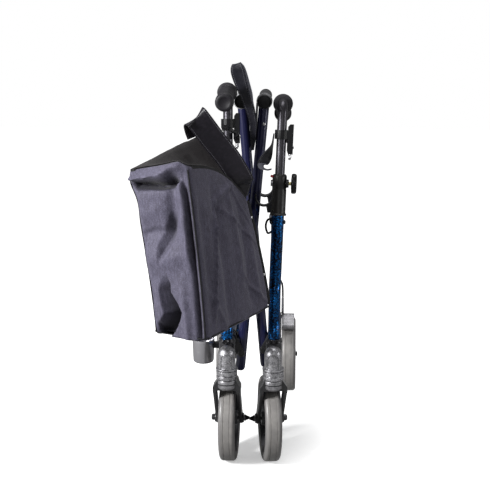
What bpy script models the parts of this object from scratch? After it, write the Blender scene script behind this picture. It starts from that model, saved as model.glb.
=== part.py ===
"""Side-folding four-wheeled walker, folded for storage, with its carry bag hung on the left frame.

Units are metres and +Z is up. The front casters face -Y, the rear wheels stand at +Y, and +X is the
side that is on the right when the walker is seen from the front. Each side frame is built from the
same functions with SIDE = +1 (right) or -1 (left). The folding frame is one X brace: each arm is
hinged to one side frame near the floor and carries the seat rail of the other side on its top.
"""
import math

import bmesh
import bpy
from mathutils import Matrix, Vector

RIGHT = 1
LEFT = -1
SIDE_NAME = {RIGHT: "right", LEFT: "left"}

# Where the middle of the overall box lies, measured from the front axle's plane and the mid plane.
ORIGIN_X = -0.0536
ORIGIN_Y = 0.1297

# Clearances.
GAP = 0.0003
SWIVEL_GAP = 0.0006
TYRE_GAP = 0.0045

# Wheels.
WHEEL_RADIUS = 0.100
WHEEL_WIDTH = 0.038
TYRE_DEPTH = 0.020
WHEEL_FACETS = 30
WHEELBASE = 0.480
REAR_HALF = 0.0870
AXLE_RADIUS = 0.0040
HUB_RADIUS = 0.0150
WINDOW_COUNT = 5
WINDOW_RADIUS = 0.0155

# Casters.
STEER_HALF = 0.0524
TRAIL = 0.069
CASTER_TURN = {RIGHT: math.radians(7.5), LEFT: math.radians(-2.0)}
FORK_ARM = 0.0070
FORK_DEPTH = 0.044
CROWN_FRONT = 0.012
CROWN_THICKNESS = 0.0105
CUP_RADIUS = 0.0213
CUP_HEIGHT = 0.016
ROOF_CLEARANCE = 0.0055
BOSS_RADIUS = 0.0130
CAP_NUT_LENGTH = 0.0068

# Frame tubes.
FRAME_HALF = 0.0535
REAR_TUBE_HALF = 0.0520
UPRIGHT_RADIUS = 0.0140
UPRIGHT_WALL = 0.0014
UPRIGHT_BORE = UPRIGHT_RADIUS - UPRIGHT_WALL
REAR_TUBE_RADIUS = 0.0120
LOWER_RAIL_RADIUS = 0.0110
BEND_RADIUS = 0.050
BOSS_Y = -TRAIL + 0.033
POST_FOOT_Y = 0.030
POST_LEAN = 0.107
POST_SPLAY = {RIGHT: 0.0372, LEFT: 0.0044}

# Heights, measured up from the underside of the steering heads.
HEAD_HEIGHT = 0.0760
HEAD_RADIUS = 0.0199
FOOT_RING_HEIGHT = 0.0250
UPRIGHT_FOOT = 0.0305
UPRIGHT_KNEE = 0.1034
POST_FOOT = 0.1784
LOWER_RAIL = 0.0404
PIVOT = 0.0004
RAIL_FOLDED = 0.6054
RAIL_OPEN = 0.3844
SEAT_TUBE = 0.3374

# Distances along the handle post, from its foot.
UPRIGHT_TOP = 0.2315
SLEEVE_BOTTOM = 0.1748
SLEEVE_TOP = 0.2686
KNOB_HEIGHT = 0.2480
HANDLE_BOTTOM = 0.1000
HANDLE_CORNER = 0.4338
HOUSING_BOTTOM = 0.3140
HOUSING_TOP = 0.3825
COLLAR_BOTTOM = 0.3482
COLLAR_TOP = 0.3693
BORE_FLOOR = 0.0985
HANDLE_RAISE = {RIGHT: 0.0, LEFT: 0.0240}
HANDLE_HEADING = {RIGHT: 1, LEFT: -1}

# Sleeve, knob and handle.
SLEEVE_WALL = 0.0025
SLEEVE_RADIUS = UPRIGHT_RADIUS + SLEEVE_WALL
SLEEVE_FLANGE = SLEEVE_RADIUS + 0.0023
HANDLE_RADIUS = 0.0110
HANDLE_BEND = 0.0215
BUSH_LENGTH = 0.030
GRIP_DROOP = math.radians(11.0)
GRIP_START = 0.0270
GRIP_LENGTH = 0.1250
GRIP_RADIUS = 0.0165
GRIP_FLANGE = 0.0226
GRIP_END = 0.0205
KNOB_RADIUS = 0.0235
KNOB_THICKNESS = 0.0130
KNOB_OFFSET = SLEEVE_RADIUS + 0.0097
KNOB_LOBES = 7
LEVER_PIVOT = (0.0205, 0.0140, 0.3300)
LEVER_WIDTH = 0.0070
LEVER_PIN_RADIUS = 0.0025

# Fold.
RAIL_HALF = 0.0265
ARM_RADIUS = 0.0120
ARM_PLANE = {LEFT: 0.122, RIGHT: 0.150}
ARM_STUB = 0.047
PIN_RADIUS = 0.0040
LUG_THICKNESS = 0.0040
SEAT_RAIL_RADIUS = 0.0150
SEAT_RAIL_CAP = 0.0160
SEAT_RAIL_FRONT = 0.096
SEAT_RAIL_LENGTH = 0.162
CAP_LENGTH = 0.014
CRADLE_CLEARANCE = 0.0015
CRADLE_WALL = 0.0035
CRADLE_SPANS = ((0.088, 0.107), (0.208, 0.234))

# Rear leg end, brake and cables.
SEAT_TUBE_BACK = 0.260
DROPOUT_HALF_WIDTH = 0.0148
BRAKE_PIVOT_RISE = WHEEL_RADIUS + 0.0196
BRAKE_PIVOT_ANGLE = math.radians(106.0)
SHOE_ANGLE = math.radians(122.9)
SHOE_RADIUS = 0.0095
CABLE_RADIUS = 0.0025

# Cane cup on the left frame.
CUP_CENTRE_OUT = 0.1135
CUP_CENTRE_Y = 0.050
CANE_CUP_RADIUS = 0.0245
CANE_CUP_HEIGHT = 0.056
CANE_CUP_WALL = 0.0025
CANE_CUP_LIFT = 0.0194

# Soft parts.
BAG_FRONT = (-0.0797, -0.3286)
BAG_WIDTH = 0.1240
BAG_LENGTH = 0.2920
BAG_HEADING = math.radians(25.5)
BAG_BOTTOM = 0.1661
BAG_HEIGHTS = ((0.356, 0.235), (0.339, 0.382))
BAG_LEAN = -0.0460
BAG_FLARE = 0.0140
BAG_CORNER = 0.022
HANGER_WIDTH = 0.030
HANGER_HEIGHT = 0.3120
SLING_THICKNESS = 0.0020
SLING_TOP_HALF = 0.0102
WEBBING = 0.0030
PULL_DEPTH = 0.0110
PULL_BACK = 0.0925


def roof_height():
    """Height of the fork's roof: it clears the tyre at the crown's rear edge."""
    back = TRAIL - FORK_DEPTH / 2
    return WHEEL_RADIUS + math.sqrt(WHEEL_RADIUS ** 2 - back ** 2) + ROOF_CLEARANCE


CROWN_TOP = roof_height() + CROWN_THICKNESS
CUP_TOP = CROWN_TOP + CUP_HEIGHT
DATUM = CUP_TOP + SWIVEL_GAP
PIVOT_Z = DATUM + PIVOT
CROSS_Z = DATUM + (PIVOT + RAIL_FOLDED) / 2
RAIL_Z = DATUM + RAIL_FOLDED


def clear_scene():
    """Remove whatever the file holds."""
    for obj in list(bpy.data.objects):
        bpy.data.objects.remove(obj, do_unlink=True)


def make_material(name, colour, roughness, metallic=0.0):
    """Return a Principled material of one colour."""
    material = bpy.data.materials.new(name)
    material.use_nodes = True
    shader = material.node_tree.nodes["Principled BSDF"]
    shader.inputs["Base Color"].default_value = (*colour, 1.0)
    shader.inputs["Roughness"].default_value = roughness
    shader.inputs["Metallic"].default_value = metallic
    return material


clear_scene()
ROOT = bpy.data.objects.new("walker", None)
bpy.context.scene.collection.objects.link(ROOT)
ROOT.location = (-ORIGIN_X, -ORIGIN_Y, 0.0)

BLUE = make_material("frame_blue", (0.010, 0.045, 0.16), 0.30, 0.5)
NAVY = make_material("arm_navy", (0.012, 0.016, 0.05), 0.35, 0.4)
SILVER = make_material("head_silver", (0.34, 0.34, 0.36), 0.42, 0.6)
GRAPHITE = make_material("fork_graphite", (0.075, 0.075, 0.08), 0.45)
BLACK = make_material("black_plastic", (0.018, 0.018, 0.020), 0.40)
GRIP = make_material("grip_rubber", (0.030, 0.030, 0.034), 0.60)
TYRE = make_material("tyre_grey", (0.27, 0.26, 0.25), 0.70)
STEEL = make_material("tube_steel", (0.10, 0.10, 0.11), 0.28, 0.9)
BOLT = make_material("bolt_black", (0.020, 0.020, 0.022), 0.35, 0.7)
CLOTH = make_material("bag_nylon", (0.075, 0.072, 0.085), 0.85)
WEB = make_material("black_webbing", (0.020, 0.020, 0.024), 0.80)


def new_object(name, bm, material, pivot=Vector((0.0, 0.0, 0.0))):
    """Turn bm into a named object whose origin is the point pivot, and return it."""
    bmesh.ops.remove_doubles(bm, verts=bm.verts, dist=1e-6)
    bmesh.ops.recalc_face_normals(bm, faces=bm.faces)
    bmesh.ops.translate(bm, verts=bm.verts, vec=-pivot)
    mesh = bpy.data.meshes.new(name)
    bm.to_mesh(mesh)
    bm.free()
    mesh.materials.append(material)
    mesh.shade_smooth()
    mesh.set_sharp_from_angle(angle=math.radians(38))
    obj = bpy.data.objects.new(name, mesh)
    bpy.context.scene.collection.objects.link(obj)
    obj.parent = ROOT
    obj.location = pivot
    return obj


def combine(obj, bm, operation):
    """Join the closed shape bm to obj, or cut it out, by a Boolean modifier."""
    tool = new_object(f"tool_{obj.name}", bm, BLACK)
    tool.hide_render = True
    tool.display_type = "WIRE"
    modifier = obj.modifiers.new(operation.lower(), "BOOLEAN")
    modifier.operation = operation
    modifier.solver = "EXACT"
    modifier.object = tool


def join(obj, bm):
    """Add the shape bm to obj."""
    combine(obj, bm, "UNION")


def cut(obj, bm):
    """Take the shape bm out of obj."""
    combine(obj, bm, "DIFFERENCE")


def axis_matrix(origin, direction, start=None):
    """Matrix that takes +Z to direction and the origin to origin; start fixes where +X points."""
    z_axis = Vector(direction).normalized()
    x_axis = Vector(start) if start else z_axis.orthogonal()
    x_axis = (x_axis - z_axis * x_axis.dot(z_axis)).normalized()
    y_axis = z_axis.cross(x_axis)
    turn = Matrix((x_axis, y_axis, z_axis)).transposed().to_4x4()
    return Matrix.Translation(origin) @ turn


def lathe(profile, matrix, steps=16, closed=False):
    """Revolve profile, points (radius, height), about the matrix's Z axis.

    The facets' flats keep the profile's radius, so a wheel stands on a flat of its own radius.
    """
    bm = bmesh.new()
    stretch = 1.0 / math.cos(math.pi / steps)
    first = Matrix.Rotation(math.pi / steps, 3, "Z")
    verts = [bm.verts.new(first @ Vector((r * stretch, 0.0, h))) for r, h in profile]
    edges = [bm.edges.new(pair) for pair in zip(verts, verts[1:])]
    if closed:
        edges.append(bm.edges.new((verts[-1], verts[0])))
    bmesh.ops.spin(bm, geom=verts + edges, cent=(0, 0, 0), axis=(0, 0, 1), angle=2 * math.pi,
                   steps=steps, use_merge=True, use_duplicate=False)
    bmesh.ops.remove_doubles(bm, verts=bm.verts, dist=1e-6)
    bmesh.ops.transform(bm, matrix=matrix, verts=bm.verts)
    return bm


def rod(start, end, radius, steps=14):
    """Closed cylinder from start to end."""
    start, end = Vector(start), Vector(end)
    length = (end - start).length
    profile = [(0.0, 0.0), (radius, 0.0), (radius, length), (0.0, length)]
    return lathe(profile, axis_matrix(start, end - start), steps)


def arc(centre, radius, start, end, steps):
    """Points on an arc in a plane, with start and end in degrees."""
    angles = [math.radians(start + (end - start) * i / steps) for i in range(steps + 1)]
    return [(centre[0] + radius * math.cos(a), centre[1] + radius * math.sin(a)) for a in angles]


def hull(points):
    """Convex outline around points in a plane, counter-clockwise."""
    points = sorted(set(points))
    chains = []
    for ordered in (points, points[::-1]):
        chain = []
        for p in ordered:
            while len(chain) > 1:
                (ax, ay), (bx, by) = chain[-2], chain[-1]
                if (bx - ax) * (p[1] - ay) - (by - ay) * (p[0] - ax) > 1e-12:
                    break
                chain.pop()
            chain.append(p)
        chains.append(chain[:-1])
    return chains[0] + chains[1]


def belt(*circles, steps=12):
    """Outline of a belt laid round circles, each (centre, radius)."""
    return hull([p for centre, radius in circles for p in arc(centre, radius, 0, 360, steps)[:-1]])


def slab(outline, place, low, high):
    """Extrude a plane outline between low and high; place maps (a, b, depth) to a point."""
    bm = bmesh.new()
    face = bm.faces.new([bm.verts.new(place(a, b, low)) for a, b in outline])
    extruded = bmesh.ops.extrude_face_region(bm, geom=[face])
    for vert in extruded["geom"]:
        if isinstance(vert, bmesh.types.BMVert):
            index = min(range(len(outline)), key=lambda i: (vert.co - place(*outline[i], low)).length)
            vert.co = place(*outline[index], high)
    return bm


def block(low, high):
    """Closed box between two corners."""
    bm = bmesh.new()
    centre = (Vector(low) + Vector(high)) / 2
    size = Vector(high) - Vector(low)
    bmesh.ops.create_cube(bm, size=1.0, matrix=Matrix.Translation(centre) @ Matrix.Diagonal((*size, 1.0)))
    return bm


def bent_path(corners, radius, steps=5):
    """Points along straight runs between corners, with a round bend at each inner corner."""
    corners = [Vector(c) for c in corners]
    points = [corners[0]]
    for before, corner, after in zip(corners, corners[1:], corners[2:]):
        a = (before - corner).normalized()
        b = (after - corner).normalized()
        half = a.angle(b) / 2
        reach = radius / math.tan(half)
        centre = corner + (a + b).normalized() * (radius / math.sin(half))
        start = corner + a * reach - centre
        end = corner + b * reach - centre
        turn = start.angle(end)
        for i in range(steps + 1):
            share = i / steps
            spoke = start * math.sin((1 - share) * turn) + end * math.sin(share * turn)
            points.append(centre + spoke / math.sin(turn))
    return points + [corners[-1]]


def smooth_path(knots, per_span=4):
    """Points on a smooth curve through knots."""
    knots = [Vector(k) for k in knots]
    padded = [2 * knots[0] - knots[1]] + knots + [2 * knots[-1] - knots[-2]]
    points = []
    for a, b, c, d in zip(padded, padded[1:], padded[2:], padded[3:]):
        for i in range(per_span):
            t = i / per_span
            points.append(0.5 * (2 * b + (c - a) * t + (2 * a - 5 * b + 4 * c - d) * t ** 2
                                 + (3 * b - a - 3 * c + d) * t ** 3))
    return points + [knots[-1]]


def round_section(radius, sides=14):
    """Circle whose corners lie on the radius."""
    return [(radius * math.cos(2 * math.pi * i / sides), radius * math.sin(2 * math.pi * i / sides))
            for i in range(sides)]


def flat_section(width, thickness):
    """Rectangle that is width across the sweep's side direction."""
    return [(-width / 2, -thickness / 2), (width / 2, -thickness / 2),
            (width / 2, thickness / 2), (-width / 2, thickness / 2)]


def sweep(path, section, side=(1.0, 0.0, 0.0), scales=None, sides=None):
    """Closed solid of section carried along path.

    side is the direction that the section's first axis keeps nearest to. sides may give it for
    each point, and scales the section's size there.
    """
    bm = bmesh.new()
    rings = []
    for i, point in enumerate(path):
        ahead = path[min(i + 1, len(path) - 1)] - path[max(i - 1, 0)]
        tangent = ahead.normalized()
        across = Vector(sides[i] if sides else side)
        across = (across - tangent * across.dot(tangent)).normalized()
        up = tangent.cross(across)
        scale = scales[i] if scales else 1.0
        rings.append([bm.verts.new(point + (across * a + up * b) * scale) for a, b in section])
    for ring, after in zip(rings, rings[1:]):
        for i in range(len(section)):
            j = (i + 1) % len(section)
            bm.faces.new((ring[i], ring[j], after[j], after[i]))
    bm.faces.new(rings[0])
    bm.faces.new(rings[-1])
    return bm


def yz(side):
    """Placement of an outline drawn in (y, z), with depth measured outward along X."""
    return lambda a, b, depth: Vector((side * depth, a, b))


def xz(side):
    """Placement of an outline drawn in (outward x, z), with depth along Y."""
    return lambda a, b, depth: Vector((side * a, depth, b))


def post_point(side, out, back, along):
    """Point in the handle post's own frame: outward, backward and along the leaning post."""
    axis = Vector((side * POST_SPLAY[side], POST_LEAN, 1.0)).normalized()
    back_axis = Vector((0.0, 1.0, -POST_LEAN))
    back_axis = (back_axis - axis * back_axis.dot(axis)).normalized()
    out_axis = back_axis.cross(axis) * side
    foot = Vector((side * FRAME_HALF, POST_FOOT_Y, DATUM + POST_FOOT))
    return foot + out_axis * out + back_axis * back + axis * along


def handle_point(side, out, back, along):
    """Point in the handle's frame, turned and raised as the photograph shows it."""
    heading = HANDLE_HEADING[side]
    return post_point(side, heading * out, heading * back, along + HANDLE_RAISE[side])


def handle_pivot(side):
    """Point on the post's axis that the handle slides and turns on."""
    return post_point(side, 0.0, 0.0, SLEEVE_TOP)


def post_matrix(side, along, raised=False):
    """Frame whose Z runs up the post from the given distance along it."""
    place = handle_point if raised else post_point
    origin = place(side, 0.0, 0.0, along)
    return axis_matrix(origin, place(side, 0.0, 0.0, along + 1.0) - origin)


def steer_point(side, out, back, height):
    """Point in a caster's own frame: from its steering axis, outward, along its trail, and up."""
    turned = Matrix.Rotation(CASTER_TURN[side], 3, "Z") @ Vector((side * out, back, 0.0))
    return Vector((side * STEER_HALF, -TRAIL, height)) + turned


def wheel_profile():
    """Tyre section, points (radius, offset across the wheel)."""
    half = WHEEL_WIDTH / 2
    shoulder = 0.009
    inner = WHEEL_RADIUS - TYRE_DEPTH
    outer = arc((WHEEL_RADIUS - shoulder, half - shoulder), shoulder, 0, 72, 2)
    side = [(inner, half - 0.002)]
    upper = outer + side
    return [(r, -w) for r, w in reversed(upper)] + upper


def build_wheel(prefix, centre, axis, start, pivot):
    """Tyre and hub of one wheel."""
    matrix = axis_matrix(centre, axis, start)
    new_object(f"{prefix}_tyre", lathe(wheel_profile(), matrix, WHEEL_FACETS, closed=True), TYRE, pivot)
    rim = WHEEL_RADIUS - TYRE_DEPTH - GAP
    bore = AXLE_RADIUS + GAP
    hub_half = WHEEL_WIDTH / 2 + 0.001
    rim_half = 0.0150
    web = 0.0035
    half = [(rim, rim_half), (rim - 0.005, rim_half), (rim - 0.013, web), (HUB_RADIUS + 0.005, web),
            (HUB_RADIUS, hub_half), (bore, hub_half)]
    profile = [(r, -w) for r, w in reversed(half)] + half
    hub = new_object(f"{prefix}_hub", lathe(profile, matrix, WHEEL_FACETS, closed=True), GRAPHITE, pivot)
    ring = (rim - 0.014 + HUB_RADIUS + 0.006) / 2
    for i in range(WINDOW_COUNT):
        angle = 2 * math.pi * i / WINDOW_COUNT
        spot = matrix @ Vector((ring * math.cos(angle), ring * math.sin(angle), -0.02))
        far = matrix @ Vector((ring * math.cos(angle), ring * math.sin(angle), 0.02))
        cut(hub, rod(spot, far, WINDOW_RADIUS, 10))


def bolt_profile(low, high, shaft, head, head_length, nose):
    """Closed outline of a bolt from low to high with a head and a domed nut outside them."""
    return [(0.0, low - head_length), (head * 0.8, low - head_length), (head, low - head_length * 0.7),
            (head, low), (shaft, low), (shaft, high), (head, high), (head, high + head_length * 0.6),
            (head * 0.62, high + head_length), (nose, high + head_length + CAP_NUT_LENGTH),
            (0.0, high + head_length + CAP_NUT_LENGTH)]


def build_caster(side):
    """Fork, wheel and axle of one front caster."""
    name = SIDE_NAME[side]
    pivot = Vector((side * STEER_HALF, -TRAIL, DATUM))
    inner = WHEEL_WIDTH / 2 + TYRE_GAP
    outer = inner + FORK_ARM
    roof = CROWN_TOP - CROWN_THICKNESS
    front = -CROWN_FRONT
    rear = FORK_DEPTH / 2

    def by_side(a, b, depth):
        return steer_point(side, depth, a, b)

    def by_front(a, b, depth):
        return steer_point(side, a, depth, b)

    shoulder = [(outer + 0.001, roof - 0.004), (outer + 0.001, CROWN_TOP - 0.002), (CUP_RADIUS, CUP_TOP - 0.003)]
    crown = shoulder + [(-a, b) for a, b in reversed(shoulder)]
    fork = new_object(f"caster_fork_{name}", slab(crown, by_front, front, rear), GRAPHITE, pivot)
    arm = belt(((front + 0.008, CROWN_TOP - 0.014), 0.008), ((rear - 0.010, CROWN_TOP - 0.014), 0.008),
               ((TRAIL, WHEEL_RADIUS), BOSS_RADIUS))
    for sign in (1, -1):
        join(fork, slab(arm, by_side, *sorted((sign * (inner - 0.002), sign * outer))))
        join(fork, rod(steer_point(side, sign * (inner + 0.001), TRAIL, WHEEL_RADIUS),
                       steer_point(side, sign * (outer + 0.0035), TRAIL, WHEEL_RADIUS), BOSS_RADIUS - 0.002))
    join(fork, rod(steer_point(side, 0, 0, CROWN_TOP - 0.004), steer_point(side, 0, 0, CUP_TOP),
                   CUP_RADIUS, 20))
    slot = [(-inner, 0.0), (inner, 0.0), (inner, roof), (-inner, roof)]
    cut(fork, slab(slot, by_front, front - 0.01, TRAIL + BOSS_RADIUS + 0.01))
    axle_line = steer_point(side, 1, TRAIL, WHEEL_RADIUS) - steer_point(side, 0, TRAIL, WHEEL_RADIUS)
    centre = steer_point(side, 0, TRAIL, WHEEL_RADIUS)
    hole = rod(centre - axle_line * 0.05, centre + axle_line * 0.05, AXLE_RADIUS + GAP)
    cut(fork, hole)
    seat = outer + 0.0035 + GAP
    profile = bolt_profile(-seat, seat, AXLE_RADIUS, 0.0072, 0.0042, 0.0018)
    axle = lathe(profile, axis_matrix(centre, -axle_line), 12)
    new_object(f"caster_axle_{name}", axle, BOLT, pivot)
    build_wheel(f"caster_{name}", centre, axle_line, (0, 0, -1), centre)


def build_head(side):
    """Steering head casting with its dome, the upright's boss and the lower rail's boss."""
    name = SIDE_NAME[side]
    ring = CUP_RADIUS
    dome = 0.0200
    curve = [(HEAD_RADIUS * math.cos(math.radians(a)), HEAD_HEIGHT - dome + dome * math.sin(math.radians(a)))
             for a in (0, 25, 50, 74)]
    profile = [(0.0, 0.0), (ring, 0.0), (ring, FOOT_RING_HEIGHT), (HEAD_RADIUS, FOOT_RING_HEIGHT + 0.0015)]
    profile += curve + [(0.0, HEAD_HEIGHT)]
    steer = axis_matrix((side * STEER_HALF, -TRAIL, DATUM), (0, 0, 1))
    head = new_object(f"steering_head_{name}", lathe(profile, steer, 20), SILVER)
    x = side * FRAME_HALF
    join(head, rod((x, BOSS_Y, DATUM + 0.020), (x, BOSS_Y, DATUM + 0.0850), UPRIGHT_RADIUS + 0.0042, 16))
    rail_z = DATUM + LOWER_RAIL
    join(head, rod((x, BOSS_Y, rail_z), (x, BOSS_Y + 0.046, rail_z), LOWER_RAIL_RADIUS + 0.0036, 14))
    foot = DATUM + UPRIGHT_FOOT - GAP
    cut(head, rod((x, BOSS_Y, foot), (x, BOSS_Y, DATUM + 0.12), UPRIGHT_RADIUS + GAP))
    cut(head, rod((x, BOSS_Y + 0.0200, rail_z), (x, BOSS_Y + 0.08, rail_z), LOWER_RAIL_RADIUS + GAP, 12))


def rear_leg_corners(side):
    """Corners of the rear tube: seat level run, then down to the rear axle."""
    x = side * REAR_TUBE_HALF
    level = DATUM + SEAT_TUBE
    start_y = post_point(side, 0, 0.006, (level - DATUM - POST_FOOT)).y
    return [Vector((x, start_y, level)), Vector((x, SEAT_TUBE_BACK, level)),
            Vector((x, WHEELBASE - 0.0095, WHEEL_RADIUS + 0.0465))]


def build_frame(side):
    """Blue tubes of one side frame."""
    name = SIDE_NAME[side]
    x = side * FRAME_HALF
    corners = [(x, BOSS_Y, DATUM + UPRIGHT_FOOT), (x, BOSS_Y, DATUM + UPRIGHT_KNEE),
               (x, POST_FOOT_Y, DATUM + POST_FOOT), post_point(side, 0, 0, UPRIGHT_TOP)]
    upright = new_object(f"front_upright_{name}",
                         sweep(bent_path(corners, BEND_RADIUS, 3), round_section(UPRIGHT_RADIUS)), BLUE)
    cut(upright, rod(post_point(side, 0, 0, BORE_FLOOR), post_point(side, 0, 0, UPRIGHT_TOP + 0.01),
                     UPRIGHT_BORE))
    corners = rear_leg_corners(side)
    rear = new_object(f"rear_tube_{name}",
                      sweep(bent_path(corners, BEND_RADIUS, 4), round_section(REAR_TUBE_RADIUS, 12)), BLUE)
    cut(rear, rod(post_point(side, 0, 0, 0.05), post_point(side, 0, 0, UPRIGHT_TOP),
                  UPRIGHT_RADIUS + GAP))
    slope = (corners[2] - corners[1]).normalized()
    rail_z = DATUM + LOWER_RAIL
    meet = corners[1] + slope * ((rail_z - corners[1].z) / slope.z)
    rail = new_object(f"lower_rail_{name}",
                      sweep([Vector((x, BOSS_Y + 0.0205, rail_z)), Vector((x, meet.y, rail_z))],
                            round_section(LOWER_RAIL_RADIUS, 12)), BLUE)
    cut(rail, rod(meet - slope * 0.05, meet + slope * 0.05, REAR_TUBE_RADIUS + GAP))


def wheel_polar(radius, angle):
    """Point in (y, z) round the rear axle."""
    return (WHEELBASE + radius * math.cos(angle), WHEEL_RADIUS + radius * math.sin(angle))


def build_rear_end(side):
    """Rear leg casting, rear wheel, axle bolt and brake arm of one side."""
    name = SIDE_NAME[side]
    corners = rear_leg_corners(side)
    slope = (corners[2] - corners[1]).normalized()
    end = corners[2]
    seat = end - slope * 0.022
    brake = wheel_polar(BRAKE_PIVOT_RISE, BRAKE_PIVOT_ANGLE)
    low = REAR_TUBE_HALF - DROPOUT_HALF_WIDTH
    high = REAR_TUBE_HALF + DROPOUT_HALF_WIDTH
    outline = belt(((WHEELBASE, WHEEL_RADIUS), 0.0160), ((seat.y, seat.z), REAR_TUBE_RADIUS + 0.0045),
                   (brake, 0.0115))
    casting = new_object(f"rear_casting_{name}", slab(outline, yz(side), low, high), GRAPHITE)
    cut(casting, rod(end + slope * GAP, end - slope * 0.14, REAR_TUBE_RADIUS + GAP))
    pin_out = REAR_HALF + WHEEL_WIDTH / 2 - 0.010
    join(casting, rod((side * (high - 0.003), *brake), (side * pin_out, *brake), PIN_RADIUS, 12))
    cut(casting, rod((0, WHEELBASE, WHEEL_RADIUS), (side * 0.2, WHEELBASE, WHEEL_RADIUS), AXLE_RADIUS + GAP))
    centre = Vector((side * REAR_HALF, WHEELBASE, WHEEL_RADIUS))
    outward = Vector((side, 0, 0))
    start = low - REAR_HALF - GAP
    stop = WHEEL_WIDTH / 2 + 0.001 + GAP
    profile = [(0.0, start - 0.004), (0.0068, start - 0.004), (0.0072, start), (AXLE_RADIUS, start),
               (AXLE_RADIUS, stop), (0.0068, stop), (0.0068, stop + 0.0025), (0.0030, stop + 0.0038),
               (0.0, stop + 0.0040)]
    new_object(f"rear_axle_{name}", lathe(profile, axis_matrix(centre, outward), 12), BOLT)
    build_wheel(f"rear_{name}", centre, outward, (0, 0, -1), centre)
    shoe = wheel_polar(WHEEL_RADIUS + TYRE_GAP + SHOE_RADIUS, SHOE_ANGLE)
    arm = belt((brake, 0.0090), (shoe, SHOE_RADIUS))
    arm_low = high + 0.0008
    pivot = Vector((side * arm_low, *brake))
    body = new_object(f"brake_arm_{name}", slab(arm, yz(side), arm_low, pin_out + 0.006), BLACK, pivot)
    cut(body, rod((0, *brake), (side * (pin_out + GAP), *brake), PIN_RADIUS + GAP, 12))
    cut_low = REAR_HALF - WHEEL_WIDTH / 2 + 0.008
    notch = belt((wheel_polar(WHEEL_RADIUS + 0.030, SHOE_ANGLE), 0.006), (brake, 0.002))
    cut(body, slab([(a, b + 0.012) for a, b in notch], yz(side), cut_low, cut_low + 0.014))


def build_height_clamp(side):
    """Plastic sleeve on the upright's top, and its clamping knob."""
    name = SIDE_NAME[side]
    length = SLEEVE_TOP - SLEEVE_BOTTOM
    profile = [(0.0, 0.0), (SLEEVE_FLANGE, 0.0), (SLEEVE_FLANGE, 0.0035), (SLEEVE_RADIUS, 0.0050),
               (SLEEVE_RADIUS, length - 0.004), (SLEEVE_RADIUS - 0.0025, length), (0.0, length)]
    sleeve = new_object(f"clamp_sleeve_{name}", lathe(profile, post_matrix(side, SLEEVE_BOTTOM), 16), BLACK)
    boss_out = KNOB_OFFSET - 0.0050
    for reach, radius, steps in ((boss_out, 0.0095, 12), (-SLEEVE_RADIUS - 0.0035, 0.0080, 6)):
        join(sleeve, rod(post_point(side, 0, 0, KNOB_HEIGHT), post_point(side, reach, 0, KNOB_HEIGHT),
                         radius, steps))
    cut(sleeve, rod(post_point(side, 0, 0, SLEEVE_BOTTOM - 0.01), post_point(side, 0, 0, UPRIGHT_TOP + GAP),
                    UPRIGHT_RADIUS + GAP))
    cut(sleeve, rod(post_point(side, 0, 0, UPRIGHT_TOP), post_point(side, 0, 0, SLEEVE_TOP + 0.01),
                    HANDLE_RADIUS + GAP))
    cut(sleeve, rod(post_point(side, 0, 0, KNOB_HEIGHT), post_point(side, 0.05, 0, KNOB_HEIGHT),
                    AXLE_RADIUS + GAP, 12))
    pivot = post_point(side, KNOB_OFFSET, 0, KNOB_HEIGHT)
    place = axis_matrix(pivot, post_point(side, 1, 0, KNOB_HEIGHT) - post_point(side, 0, 0, KNOB_HEIGHT))
    stem = HANDLE_RADIUS + 2 * GAP - KNOB_OFFSET
    outline = [(0.0, stem), (AXLE_RADIUS, stem), (AXLE_RADIUS, -0.001), (0.012, 0.0), (KNOB_RADIUS - 0.002, 0.0),
               (KNOB_RADIUS, 0.002), (KNOB_RADIUS, KNOB_THICKNESS - 0.003),
               (KNOB_RADIUS - 0.003, KNOB_THICKNESS), (0.0, KNOB_THICKNESS)]
    steps = KNOB_LOBES * 4
    bm = lathe(outline, place, steps)
    back = place.inverted()
    for vert in bm.verts:
        local = back @ vert.co
        distance = math.hypot(local.x, local.y)
        if distance > 0.8 * KNOB_RADIUS:
            angle = math.atan2(local.y, local.x)
            shrink = 1.0 - 0.045 * (1.0 + math.cos(KNOB_LOBES * angle))
            vert.co = place @ Vector((local.x * shrink, local.y * shrink, local.z))
    new_object(f"clamp_knob_{name}", bm, BLACK, pivot)


def grip_direction(side):
    """Unit vector along the grip, from the handle's corner to its end."""
    tip = handle_point(side, 0, math.cos(GRIP_DROOP), HANDLE_CORNER - math.sin(GRIP_DROOP))
    return tip - handle_point(side, 0, 0, HANDLE_CORNER)


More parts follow.
